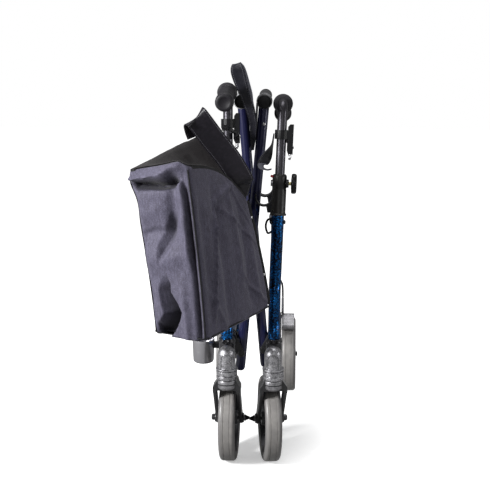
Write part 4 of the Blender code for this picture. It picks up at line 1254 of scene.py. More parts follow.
@dataclass
class Post:
    """The leaning line of the upright and the handle tube on one side."""

    side: Side
    foot_y: float = 0.03
    foot_height: float = 0.1784
    lean: float = 0.107
    splay: dict[Side, float] = field(default_factory=lambda: {Side.RIGHT: 0.0372, Side.LEFT: 0.0044})
    raised: dict[Side, float] = field(default_factory=lambda: {Side.RIGHT: 0.0, Side.LEFT: 0.024})
    heading: dict[Side, int] = field(default_factory=lambda: {Side.RIGHT: 1, Side.LEFT: -1})

    def point(self, out: float, back: float, along: float) -> Vector:
        """Place by the post.

        Args:
            out: How far outward.
            back: How far backward.
            along: How far up the post from its foot.

        Returns:
            The point.
        """
        sign = self.side.value
        axis = Vector((sign * self.splay[self.side], self.lean, 1)).normalized()
        back_axis = Vector((0, 1, -self.lean))
        back_axis = (back_axis - axis * back_axis.dot(axis)).normalized()
        out_axis = back_axis.cross(axis) * sign
        foot = Vector((sign * FRAME_HALF, self.foot_y, DATUM + self.foot_height))
        return foot + out_axis * out + back_axis * back + axis * along

    def handle(self, out: float, back: float, along: float) -> Vector:
        """The same in the handle's frame, turned and raised as it stands."""
        heading = self.heading[self.side]
        return self.point(heading * out, heading * back, along + self.raised[self.side])

    def matrix(self, along: float, raised: bool = False) -> Matrix:
        """Frame whose Z runs up the post.

        Args:
            along: How far up the post it sits.
            raised: Whether it turns and rises with the handle.

        Returns:
            The frame as a matrix.
        """
        place = self.handle if raised else self.point
        origin = place(0.0, 0.0, along)
        return axis_matrix(origin, place(0.0, 0.0, along + 1.0) - origin, place(1.0, 0.0, along) - origin)


@dataclass
class SideFrame(SideAssembly):
    """Blue tubes, steering head, rear leg end and clamp of one side."""

    boss_y: float = -0.036
    upright_bore: float = 0.0126
    rear_radius: float = 0.012
    rail_radius: float = 0.011
    bend: float = 0.05
    rear_half: float = 0.052
    seat_tube: float = 0.3374
    head_height: float = 0.076
    head_radius: float = 0.0199
    knob_height: float = 0.248

    @property
    def x(self) -> float:
        """Where the upright's foot stands across the walker."""
        return self.side.value * FRAME_HALF

    def rear_corners(self) -> list[Vector]:
        """Corners of the rear tube, from the upright to the rear axle.

        Returns:
            The three corners.
        """
        x = self.side.value * self.rear_half
        level = DATUM + self.seat_tube
        start_y = self.post.point(0.0, 0.006, self.seat_tube - self.post.foot_height).y
        return [Vector((x, start_y, level)), Vector((x, 0.26, level)),
                Vector((x, WHEELBASE - 0.0095, WHEEL_RADIUS + 0.0465))]

    def tubes(self) -> None:
        """Fit the upright, the rear tube and the lower rail, each cut where another tube passes."""
        corners = self.rear_corners()
        slope = (corners[2] - corners[1]).normalized()
        rail_z = DATUM + LOWER_RAIL
        meet = corners[1] + slope * ((rail_z - corners[1].z) / slope.z)
        place = self.post.point
        bent = [(self.x, self.boss_y, DATUM + 0.0305), (self.x, self.boss_y, DATUM + 0.1034),
                (self.x, self.post.foot_y, DATUM + self.post.foot_height), place(0, 0, UPRIGHT_TOP)]
        level = [(self.x, self.boss_y + 0.0205, rail_z), (self.x, meet.y, rail_z)]
        for name, node, path, radius, sides, passing in (
                ("upright_tube", "front_upright", bent, UPRIGHT_RADIUS, 40,
                 rod(place(0, 0, 0.085), place(0, 0, 0.2415), self.upright_bore, 40)),
                ("rear_leg_tube", "rear_tube", corners, self.rear_radius, 36,
                 rod(place(0, 0, 0.05), place(0, 0, UPRIGHT_TOP), UPRIGHT_RADIUS + GAP, 40)),
                ("bottom_rail", "lower_rail", level, self.rail_radius, 32,
                 rod(meet - slope * 0.05, meet + slope * 0.05, self.rear_radius + GAP, 36))):
            tube = sweep(even_path(bent_path(path, self.bend), 0.006), round_section(radius, sides))
            self.put(name, cut(tube, passing), "frame_blue_hammered", node, slot="frame_blue")
        self.joint_bolts()

    def joint_bolts(self) -> None:
        """Fit the bolts through the joints of the tubes."""
        seat = self.post.point(0, 0, self.seat_tube - self.post.foot_height)
        rail = Vector((self.x, self.boss_y + 0.034, DATUM + LOWER_RAIL))
        for name, spot, reach in (("seat_joint", seat, UPRIGHT_RADIUS),
                                  ("rail_joint", rail, self.rail_radius + 0.0036)):
            for word, way in (("outer", self.outward), ("inner", -self.outward)):
                bolt = cap_screw(spot + way * reach, way, 0.0048)
                self.put(f"{name}_bolt_{word}", bolt, "bolt_black_oxide")

    def head(self) -> None:
        """Fit the cast steering head with its arched front panel, foot ring and two clamp screws."""
        steer = Vector((self.side.value * STEER_HALF, -TRAIL, DATUM))
        ring, dome = 0.024, 0.02
        curve = [(self.head_radius * math.cos(math.radians(a)),
                  self.head_height - dome + dome * math.sin(math.radians(a))) for a in range(4, 88, 7)]
        foot = mm((-0.8, 0), (0, 1), (0, 7.6), (-2.8, 8.4), (-2.8, 10), (0, 10.8), (0, 19.2), (-3, 20),
                  (-3, 21.6), (0.8, 22.2), (0.8, 25), (-0.4, 25.6), out=ring)
        profile = [(0, 0), *foot, *mm((0.4, 26.2), (0, 26.8), out=self.head_radius), *curve,
                   (0, self.head_height)]
        self.put("head_casting", cast(lathe(profile, axis_matrix(steer, UP), 72), 0.0006, 2),
                 "head_silver_cast", "steering_head", slot="head_silver")
        rail_z = DATUM + LOWER_RAIL
        boss = Vector((self.x, self.boss_y, DATUM))
        sockets = [rod(boss + UP * 0.02, boss + UP * 0.085, UPRIGHT_RADIUS + 0.0042, 48, 0.0012),
                   rod(boss + UP * 0.0755, boss + UP * 0.08, UPRIGHT_RADIUS + 0.0054, 48, 0.0012),
                   rod((self.x, self.boss_y, rail_z), (self.x, self.boss_y + 0.046, rail_z),
                       self.rail_radius + 0.0036, 40, 0.001)]
        self.put("head_sockets", cast(gather(*sockets), 0.0007, 2), "socket_dark_cast")
        panel = arc((0.0, 0.048), 0.0125, 0, 180, 18) + [(-0.0125, 0.0235), (0.0125, 0.0235)]

        def on_face(a: float, b: float, depth: float) -> Vector:
            """Wrap a place of the panel on the head's front.

            Args:
                a: Metres across.
                b: Height on the head.
                depth: How far outside its skin.

            Returns:
                The point.
            """
            turn = a / self.head_radius
            reach = self.head_radius + depth
            rise = max(0.0, b - (self.head_height - dome)) / dome
            reach *= math.sqrt(max(0.05, 1.0 - rise * rise)) if rise < 1.0 else 0.3
            return steer + Vector((reach * math.sin(turn), -reach * math.cos(turn), b))

        frame_path = [on_face(a, b, 0.0001) for a, b in panel]
        border = sweep(even_path(frame_path + frame_path[:1], 0.0015)[:-1], round_section(0.0008, 8),
                       (0, -1, 0.2), looped=True)
        self.put("head_panel_border", border, "fork_graphite_cast")
        for i, shift in enumerate((-0.0062, 0.0062)):
            spot = Vector((self.x + shift, self.boss_y - UPRIGHT_RADIUS - 0.0035, DATUM + 0.0812))
            self.put(f"head_clamp_screw_{i + 1}", cap_screw(spot, (0, -1, 0.15), 0.0046),
                     "bolt_black_oxide")

    def rear_end(self) -> None:
        """Fit the rear casting, the rear wheel, its axle and the brake arm."""
        self.put_cast("rear_leg_casting", "rear_casting", "fork_graphite_cast", 0.0009, 5,
                      slot="fork_graphite")
        centre = Vector((self.side.value * REAR_TRACK, WHEELBASE, WHEEL_RADIUS))
        start = self.rear_half - REAR_BOSS - REAR_TRACK - GAP
        stop = WHEEL_WIDTH / 2 + 0.001 + GAP
        profile = mm((0, -4), (6.2, -4), (7.2, -3), (7.2, 0), (4, 0), up=start)
        profile += mm((4, 0), (6.8, 0), (6.8, 2.2), (5.6, 3.4), (3.2, 3.9), (0, 4), up=stop)
        self.put("axle_bolt_rear", lathe(profile, axis_matrix(centre, self.outward), 32), "bolt_black_oxide",
                 "rear_axle", slot="bolt_black")
        self.put_cast("brake_shoe_arm", "brake_arm", "steering_cup_grey", 0.0007, 4,
                      body=f"brake{self.ending}", slot="black_plastic")
        Wheel(self.fitter, f"rear{self.ending}", f"rear_wheel{self.ending}", centre, self.outward).build()

    def clamp(self) -> None:
        """Fit the height clamp's sleeve, its boss, nut and release tab, and the knob."""
        low, high, split = SLEEVE_FOOT, 0.2686, UPRIGHT_TOP
        length = high - low
        tube = UPRIGHT_RADIUS + GAP
        handle = HANDLE_RADIUS + GAP
        step = split - low + GAP
        profile = [(tube, 0), *mm((18.2, 0), (18.8, 0.6), (18.8, 3.2), (16.8, 4.8), (16.5, 6)),
                   (0.0165, length * 0.62), (0.016, length * 0.635), (0.016, length * 0.66),
                   (0.0165, length * 0.675), *mm((16.5, -6), (15.8, -2.4), (14, 0), up=length),
                   (handle, length), (handle, step), (tube, step)]
        self.put("height_sleeve", lathe(profile, self.post.matrix(low), 56, closed=True), "sleeve_satin",
                 "clamp_sleeve", slot="black_plastic")
        place, rise = self.post.point, self.knob_height
        boss = rod(place(0.015, 0, rise), place(0.0212, 0, rise), 0.0095, 40, 0.001)
        self.put("knob_boss", boss, "sleeve_satin")
        nut = rod(place(-0.015, 0, rise), place(-0.02, 0, rise), 0.008, 6)
        self.put("clamp_nut", nut, "bolt_black_oxide")
        tab = rod(place(-0.014, -0.004, rise + 0.0145), place(-0.0205, -0.006, rise + 0.0165), 0.003, 20,
                  0.001)
        self.put("release_tab", tab, "release_tab_red")
        self.knob()

    def knob(self) -> None:
        """Fit the seven-lobed knob, its stem and its pressed cap."""
        body = f"knob{self.ending}"
        centre = self.post.point(0.0262, 0.0, self.knob_height)
        outward = self.post.point(1.0262, 0.0, self.knob_height) - centre
        frame = axis_matrix(centre, outward)
        radius, thick, lobes = 0.0235, 0.013, 7
        profile = mm((0, 0), (11, 0), (13, 0.4)) + mm((-2.5, 0.8), (-0.6, 2.2), (0, 4.2), out=radius)
        profile += mm((0, -4.4), (-0.8, -2), (-3, -0.4), (-5.2, 0), out=radius, up=thick)
        profile += mm((12.8, 0), (11.8, -1.2), (0, -1.2), up=thick)
        shape = lathe(profile, frame, lobes * 14)
        back = frame.inverted()
        for vert in shape.verts:
            local = back @ vert.co
            distance = math.hypot(local.x, local.y)
            if distance > 0.6 * radius:
                wave = 1.0 + math.cos(lobes * math.atan2(local.y, local.x))
                shrink = 1.0 - 0.045 * wave * min(1.0, (distance - 0.6 * radius) / (0.3 * radius))
                vert.co = frame @ Vector((local.x * shrink, local.y * shrink, local.z))
        self.put("lobed_knob", shape, "black_moulding", "clamp_knob", body=body, slot="black_plastic")
        cap = mm((0, -3), (10.8, -3), (10.8, -0.8), (9.8, -0.2), (0, 0.1), up=thick)
        self.put("knob_cap", lathe(cap, frame, 40), "sleeve_satin", body=body)
        stem = rod(centre - outward * 0.0146, centre + outward * 0.001, 0.004, 24)
        self.put("knob_stem", stem, "stem_olive_brass", body=body)

    def cable(self) -> None:
        """Fit the outer brake cable that is clipped along the rear tube."""
        radius = 0.0025
        corners = self.rear_corners()
        slope = (corners[2] - corners[1]).normalized()
        offset = self.rear_radius + radius + 0.0008
        below = Vector((0, slope.z, -slope.y)) * offset
        forward = Vector((0, -1, 0))
        inner = corners[1] + (forward + slope).normalized() * (offset / math.sin(forward.angle(slope) / 2))
        level = corners[1].z - offset
        x = self.side.value * self.rear_half
        start = self.post.point(-(UPRIGHT_RADIUS + 0.0012), -0.004, SLEEVE_FOOT - 0.008)
        rise, angle = 0.1196, math.radians(106.0)
        brake = (WHEELBASE + rise * math.cos(angle), WHEEL_RADIUS + rise * math.sin(angle))
        foot = Vector((self.side.value * (self.rear_half + REAR_BOSS + radius + 0.001), brake[0] - 0.001,
                       brake[1] + 0.0098))
        wide = (abs(foot.x) - self.rear_half) * self.outward
        sign = self.side.value
        knots = [start] + [start + Vector((-sign * out, back, drop)) for out, back, drop in (
            (0.0085, 0.002, -0.004), (0.0125, 0.002, -0.017), (0.01, 0.004, -0.031), (0.0055, 0.014, -0.037))]
        knots.append(Vector((x - sign * 0.003, start.y + 0.038, level - 0.01)))
        run = [Vector((x, start.y + 0.075, level)), inner, inner + slope * 0.2]
        run = bent_path(run, self.bend - offset, 10)
        last = run[-1]
        around = [last + slope * 0.035 + (wide * 0.72 - below * 0.35), last + slope * 0.07 + (wide - below)]
        path = smooth_path(knots + run[:1], 8)[:-1] + run[:-1] + smooth_path([last] + around + [foot], 10)
        self.put("brake_cable_sheath", sweep(path, round_section(radius, 16)), "black_moulding",
                 "brake_cable", slot="black_plastic")
        ferrule = sweep(path[-7:], round_section(radius + 0.001, 20))
        self.put("cable_ferrule", ferrule, "screw_bright_zinc")
        clips = []
        for share in (0.25, 0.75):
            spot = corners[0].lerp(corners[1], share)
            band = mm((0.2, -3), (1.4, -3), (1.4, 3), (0.2, 3), out=self.rear_radius)
            clips.append(lathe(band, axis_matrix(spot, (0, 1, 0)), 36, closed=True))
        self.put("cable_clips", gather(*clips), "black_moulding")

    def mouldings(self) -> None:
        """Fit the seat cradle and the pivot bracket."""
        self.put_cast("cradle_moulding", "seat_cradle", "black_moulding", 0.0008, 3, slot="black_plastic")
        self.put_cast("pivot_lugs", "pivot_bracket", "fork_graphite_cast", 0.0008, 3, slot="black_plastic")

    def build(self) -> None:
        """Fit every piece of the side frame."""
        self.tubes()
        self.head()
        self.rear_end()
        self.clamp()
        self.cable()
        self.mouldings()


@dataclass
class Handle(SideAssembly):
    """Handle tube with its grip, brake housing and lever."""

    corner: float = 0.4338
    bend: float = 0.0215
    grip_length: float = 0.125
    grip_start: float = 0.027
    droop: float = 11.0
    bodies: ClassVar[str] = "handle_{}"

    def direction(self) -> Vector:
        """Which way the grip points.

        Returns:
            Unit vector along it.
        """
        droop = math.radians(self.droop)
        tip = self.post.handle(0.0, math.cos(droop), self.corner - math.sin(droop))
        return tip - self.post.handle(0.0, 0.0, self.corner)

    def tube(self) -> None:
        """Fit the bent tube and give the glide bush its finish."""
        corner = self.post.handle(0.0, 0.0, self.corner)
        along = self.direction()
        end = corner + along * (self.grip_start + self.grip_length - 0.012)
        path = even_path(bent_path([self.post.handle(0, 0, 0.1), corner, end], self.bend), 0.006)
        self.put("handle_bent_tube", sweep(path, round_section(HANDLE_RADIUS, 36)), "handle_tube_black",
                 "handle_tube", slot="tube_steel")
        self.fitter.dress(f"glide_bush{self.ending}", "black_moulding")

    def grip(self) -> None:
        """Fit the moulded grip with its flange, finger rings and end cap."""
        corner = self.post.handle(0.0, 0.0, self.corner)
        along = self.direction()
        length, radius, flange, end = self.grip_length, 0.0165, 0.0226, 0.0205
        bore = HANDLE_RADIUS + GAP
        profile = [(0, length - 0.0115), (bore, length - 0.0115), (bore, 0)]
        profile += mm((-0.6, 0), (0, 0.6), (0, 2.9), (-0.8, 3.6), out=flange)
        profile += mm((1.2, 6.4), (0, 8.4), out=radius)
        count = 120
        for i in range(1, count):
            z = 0.0084 + (0.104 - 0.0084) * i / count
            swell = 0.0008 * (1 - math.cos(2 * math.pi * (z - 0.0084) / 0.0478))
            ring = 0.00035 * max(0.0, math.sin(2 * math.pi * z / 0.0052)) if 0.012 < z < 0.095 else 0.0
            profile.append((radius + swell - ring, z))
        profile += mm((2.2, 105), out=radius) + mm((-1.2, 108), (0, 110), out=end)
        profile += mm((0, -5.2), (-1, -2.4), (-3.4, -0.6), (-6, 0), out=end, up=length)
        profile += mm((11.8, 0), (11, -0.8), (0, -0.8), up=length)
        self.put("grip_moulding", lathe(profile, axis_matrix(corner + along * self.grip_start, along), 64),
                 "grip_rubber_soft", "hand_grip", slot="grip_rubber", sharp=50.0)

    def brake(self) -> None:
        """Fit the brake housing, its adjuster and pivot screw, and the lever."""
        self.put_cast("lever_housing", "brake_housing", "black_moulding", 0.0007, 3, slot="black_plastic")
        self.put_cast("lever_bar", "brake_lever", "lever_gloss_black", 0.0006, 4, body=f"lever{self.ending}",
                      slot="black_plastic")
        out = self.post.handle(1.0, 0.0, 0.0) - self.post.handle(0.0, 0.0, 0.0)
        self.put("lever_pivot_screw", cap_screw(self.post.handle(0.0265, 0.014, 0.33), out, 0.0036),
                 "screw_bright_zinc")
        foot = self.post.handle(0.0205, -0.002, 0.3145)
        down = self.post.handle(0.0, 0.0, 0.0) - self.post.handle(0.0, 0.0, 1.0)
        rings = [step for i in range(6) for step in mm((4.2, 1.5), (3.6, 2.1), up=0.0012 * i)]
        barrel = mm((0, -2), (4.2, -2), (4.2, 1.5)) + rings + mm((4.2, 8.8), (3, 9.6), (2.4, 13), (0, 13))
        self.put("cable_adjuster", lathe(barrel, axis_matrix(foot, down), 24), "screw_bright_zinc")

    def build(self) -> None:
        """Fit the handle's pieces."""
        self.tube()
        self.grip()
        self.brake()


# ---- folding brace and seat


@dataclass
class Brace(Assembly):
    """The X brace: two arms, the seat rails on their tops, and the bolt they cross on."""

    rail_half: float = 0.0265
    rail_radius: float = 0.015
    arm_radius: float = 0.012
    arm_stub: float = 0.047
    planes: dict[Side, float] = field(default_factory=lambda: {Side.LEFT: 0.122, Side.RIGHT: 0.15})
    rail_front: float = 0.096
    rail_length: float = 0.162
    pivot_z: float = DATUM + 0.0004
    rail_z: float = DATUM + 0.6054

    @property
    def cross_z(self) -> float:
        """Height of the crossing."""
        return (self.pivot_z + self.rail_z) / 2

    def arm(self, side: Side) -> None:
        """Fit one arm and the seat rail that it carries.

        Args:
            side: Side of the arm's foot.
        """
        body = f"brace_{side.label}"
        carried = "left" if side is Side.RIGHT else "right"
        foot = Vector((side.value * self.rail_half, self.planes[side], self.pivot_z))
        top = Vector((-side.value * self.rail_half, self.planes[side], self.rail_z))
        line = (top - foot).normalized()
        end = foot - line * self.arm_stub
        path = [end] + [end + line * d for d in (0.0006, 0.002, 0.0045, 0.008, 0.013)]
        path += even_path([path[-1], top], 0.008)[1:]
        scales = [0.3, 0.55, 0.74, 0.88, 0.97] + [1] * (len(path) - 5)
        arm = sweep(path, round_section(self.arm_radius, 36), (0, 1, 0), scales)
        hole = rod(top - Vector((0, 0.03, 0)), top + Vector((0, 0.03, 0)), self.rail_radius + GAP, 40)
        arm = cut(arm, hole)
        self.put(f"cross_arm_{side.label}", arm, "arm_navy_enamel", f"brace_arm_{side.label}", body=body,
                 slot="arm_navy")
        length = self.rail_length
        tube = self.rail_radius
        profile = [(0, 0.0112), (tube, 0.0112), (tube, length - 0.0112), (0, length - 0.0112)]
        place = axis_matrix((top.x, self.rail_front, self.rail_z), (0, 1, 0))
        self.put(f"seat_rail_tube_{carried}", lathe(profile, place, 48), "black_moulding",
                 f"seat_rail_{carried}", body=body, slot="black_plastic")
        rings = [step for i in range(4)
                 for step in mm((15, 3), (15.4, 3.6), (15.4, 4.6), (15, 5.2), up=0.0026 * i)]
        cap = mm((0, 0), (11.5, 0), (13.8, 0.5), (14.9, 1.6)) + rings + mm((15.2, 13.6), (15, 14), (0, 14))
        caps = [lathe(end, place, 56) for end in (cap, [(r, length - h) for r, h in cap])]
        self.put(f"seat_rail_caps_{carried}", gather(*caps), "black_moulding", body=body)
        # The ribbed sleeve is pale grey, a painted highlight of its top lit from above.
        rings = [step for i in range(5)
                 for step in mm((17.6, 0.6), (18.4, 1.2), (18.4, 2.2), (17.6, 2.8), up=0.003 * i)]
        band = [(0.0151, 0), *rings, (0.0151, 0.015)]
        sleeve = axis_matrix((top.x, self.rail_front + 0.0148, self.rail_z), (0, 1, 0))
        self.put(f"seat_rail_sleeve_{carried}", lathe(band, sleeve, 56, closed=True), "cap_pale_plastic",
                 body=body)

    def build(self) -> None:
        """Fit both arms and the centre bolt."""
        for side in Side:
            self.arm(side)
        front = self.planes[Side.LEFT] - self.arm_radius - GAP
        back = self.planes[Side.RIGHT] + self.arm_radius + GAP - front
        profile = mm((0, -4.5), (5.8, -4.5), (7, -3.6), (7.8, -1.8), (7.8, 0), (4, 0))
        profile += mm((4, 0), (7.8, 0), (7.8, 4), (7, 5), (0, 5), up=back)
        self.put("centre_bolt", lathe(profile, axis_matrix((0, front, self.cross_z), (0, 1, 0)), 40),
                 "bolt_black_oxide", "cross_bolt", body="brace_left", slot="bolt_black")
        spot = Vector((self.rail_half * 0.98, self.planes[Side.LEFT] - self.arm_radius, self.rail_z - 0.052))
        self.put("sling_lock_stud", cap_screw(spot, (0.35, -1, 0.1), 0.0036), "screw_bright_zinc",
                 body="brace_left")


@dataclass
class SeatSling(Assembly):
    """Seat cloth that hangs as a narrow V between the folded rails, and its pull strap."""

    brace: Brace
    top_half: float = 0.0102
    thickness: float = 0.0018
    rail_open: float = 0.3844
    cap_length: float = 0.014
    cut_from: float = 0.2055
    cut_depth: float = 0.0105
    spans: int = 56

    def profile(self) -> Outline:
        """Fold of the hanging cloth.

        Returns:
            Points (x, z) from one rail to the other.
        """
        drop = math.hypot((self.brace.rail_z - self.brace.pivot_z) / 2, self.brace.rail_half)
        flat = (self.rail_open - 0.0004) / 2
        open_angle = math.acos(flat / drop)
        points = []
        for i in range(self.spans + 1):
            t = i / self.spans
            share = t * t * (3 - 2 * t)
            reach = min(flat / math.cos(open_angle * (2 * share - 1)), drop - 0.004)
            points.append((self.top_half * (2 * t - 1), self.brace.cross_z + reach))
        return points

    def cloth(self) -> tuple[Shape, float, float]:
        """Sheet along the profile with soft ripples and folded hems.

        Returns:
            The shape, its width along the rails and its length round the fold.
        """
        front = self.brace.rail_front + self.cap_length + 0.002
        rear = self.brace.rail_front + self.brace.rail_length - self.cap_length - 0.002
        profile = self.profile()
        runs = [0]
        for before, after in zip(profile, profile[1:]):
            runs.append(runs[-1] + math.hypot(after[0] - before[0], after[1] - before[1]))
        rows = 40
        bm = bmesh.new()
        layers = []
        for sign in (-1, 1):
            layer = []
            for j in range(rows + 1):
                y = front + (rear - front) * j / rows
                hem = 0.0004 if min(y - front, rear - y) < 0.009 else 0.0
                row = []
                for i, (x, z) in enumerate(profile):
                    before, after = profile[max(i - 1, 0)], profile[min(i + 1, self.spans)]
                    tangent = Vector((after[0] - before[0], 0, after[1] - before[1])).normalized()
                    normal = Vector((-tangent.z, 0, tangent.x))
                    slack = math.sin(math.pi * i / self.spans)
                    ripple = 0.0006 * slack * noise.noise(Vector((y * 42.0, runs[i] * 30.0, 0.3)))
                    row.append(bm.verts.new(Vector((x, y, z)) + normal * (
                        sign * (self.thickness / 2 + hem) + ripple)))
                layer.append(row)
            layers.append(layer)
        low, high = layers
        width = rear - front

        def woven(i: int, j: int) -> bool:
            """Tell whether there is cloth in a cell; the rear corners are cut out round the cradles.

            Args:
                i: Cell round the fold.
                j: Cell along the rails.

            Returns:
                Whether there is.
            """
            if not (0 <= i < self.spans and 0 <= j < rows):
                return False
            edge = min(runs[i], runs[-1] - runs[i + 1]) < self.cut_depth
            return not (edge and front + width * (j + 1) / rows > self.cut_from)

        for j in range(rows):
            for i in range(self.spans):
                if not woven(i, j):
                    continue
                corners = ((j, i), (j, i + 1), (j + 1, i + 1), (j + 1, i))
                for layer in layers:
                    flat = [(width * b / rows, runs[a]) for b, a in corners]
                    quad(bm, [layer[b][a] for b, a in corners], flat)
                for step, (di, dj) in enumerate(((0, -1), (1, 0), (0, 1), (-1, 0))):
                    if not woven(i + di, j + dj):
                        (b, a), (d, c) = corners[step], corners[(step + 1) % 4]
                        quad(bm, (low[b][a], low[d][c], high[d][c], high[b][a]), ((0, 0),) * 4)
        for vertex in [v for v in bm.verts if not v.link_faces]:
            bm.verts.remove(vertex)
        return bm, width, runs[-1]

    def build(self) -> None:
        """Fit the sling and its pull strap, on no body."""
        shape, width, length = self.cloth()
        sling = self.put("seat_cloth", shape, "sling_navy_mesh", "seat_sling", body="", slot="black_webbing")
        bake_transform(sling)
        lift = self.brace.rail_z
        front, back = 0.0825, 0.0915
        spine = mm((0, -112.8), (0, -109), (1.5, -82), (1, -50), (-4, -22), (-11, -2), (-17.5, 18),
                   (-25.5, 40), (-31.8, 62), (-35.2, 77.5), up=lift)
        broad = [0.22, 0.22, 0.4, 0.5, 0.58, 0.64, 0.72, 0.86, 0.98, 0.92]
        slide = [0, 0, 0, 0, 0.001, 0.003, 0.006, 0.006, 0.004, 0.002]
        sunk = [0.0265, 0.022, 0.004, 0, 0, 0, 0, 0, 0, 0]
        knots = [(x, front + deep, z) for (x, z), deep in zip(spine, sunk)]
        knots += [(-0.0362, (front + back) / 2, lift + 0.0872)]
        knots += [(x + aside, back + deep * 0.82, z)
                  for (x, z), aside, deep in reversed(list(zip(spine, slide, sunk)))]
        widths = broad + [0.62] + broad[::-1]
        path = smooth_path(knots, 8)
        scale = [w.x for w in smooth_path([(w, 0, 0) for w in widths], 8)]
        section = strap_section(0.032, 0.0022, 0.0006)
        loop = sweep(path, section, (1, 0, 0.3), scale)
        bmesh.ops.recalc_face_normals(loop, faces=loop.faces)
        # The rear strand's forward faces near the top get the pale finish, a painted highlight.
        for face in loop.faces:
            spot = face.calc_center_median()
            if face.normal.y < -0.5 and spot.y > (front + back) / 2 and spot.z > lift - 0.01:
                face.material_index = 1
        strap = self.put("seat_pull_loop", loop, "pull_strap_navy", "pull_strap", body="",
                         slot="black_webbing", extra=("loop_pale_lining",))
        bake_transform(strap)


# ---- bag and straps


def clip(value: float) -> float:
    """Value held between 0 and 1."""
    return min(1.0, max(0.0, value))


def ridge(distance: float, reach: float) -> float:
    """Soft bump: 1 on a line and 0 from reach away."""
    return math.exp(-(distance / reach) ** 2)


def tent(distance: float, before: float, after: float) -> float:
    """Sharp fold: 1 on a line, falling straight to 0 at before and after, with a slightly round top."""
    share = max(0.0, 1.0 + distance / before if distance < 0 else 1.0 - distance / after)
    return share - 0.12 * max(0.0, share - 0.7) ** 2 / 0.09 * 0.3


def span(value: float, low: float, high: float) -> float:
    """Band that is 1 well between two limits and fades smoothly to 0 at both.

    Args:
        value: Where it is read.
        low: Its lower limit.
        high: Its upper limit.

    Returns:
        Its strength there, from 0 to 1.
    """
    edge = 0.25 * (high - low)
    rise, fall = clip((value - low) / edge), clip((high - value) / edge)
    return rise * rise * (3 - 2 * rise) * fall * fall * (3 - 2 * fall)


def by_line(start: Point, end: Point, a: float, b: float) -> tuple[float, float]:
    """Where a place lies by a line on the wall.

    Args:
        start: Start of the line.
        end: End of the line.
        a: First coordinate of the place.
        b: Second coordinate of the place.

    Returns:
        Share along the line, and distance off it.
    """
    dx, dy = end[0] - start[0], end[1] - start[1]
    long = math.hypot(dx, dy)
    along = ((a - start[0]) * dx + (b - start[1]) * dy) / long ** 2
    off = ((a - start[0]) * dy - (b - start[1]) * dx) / long
    return along, off


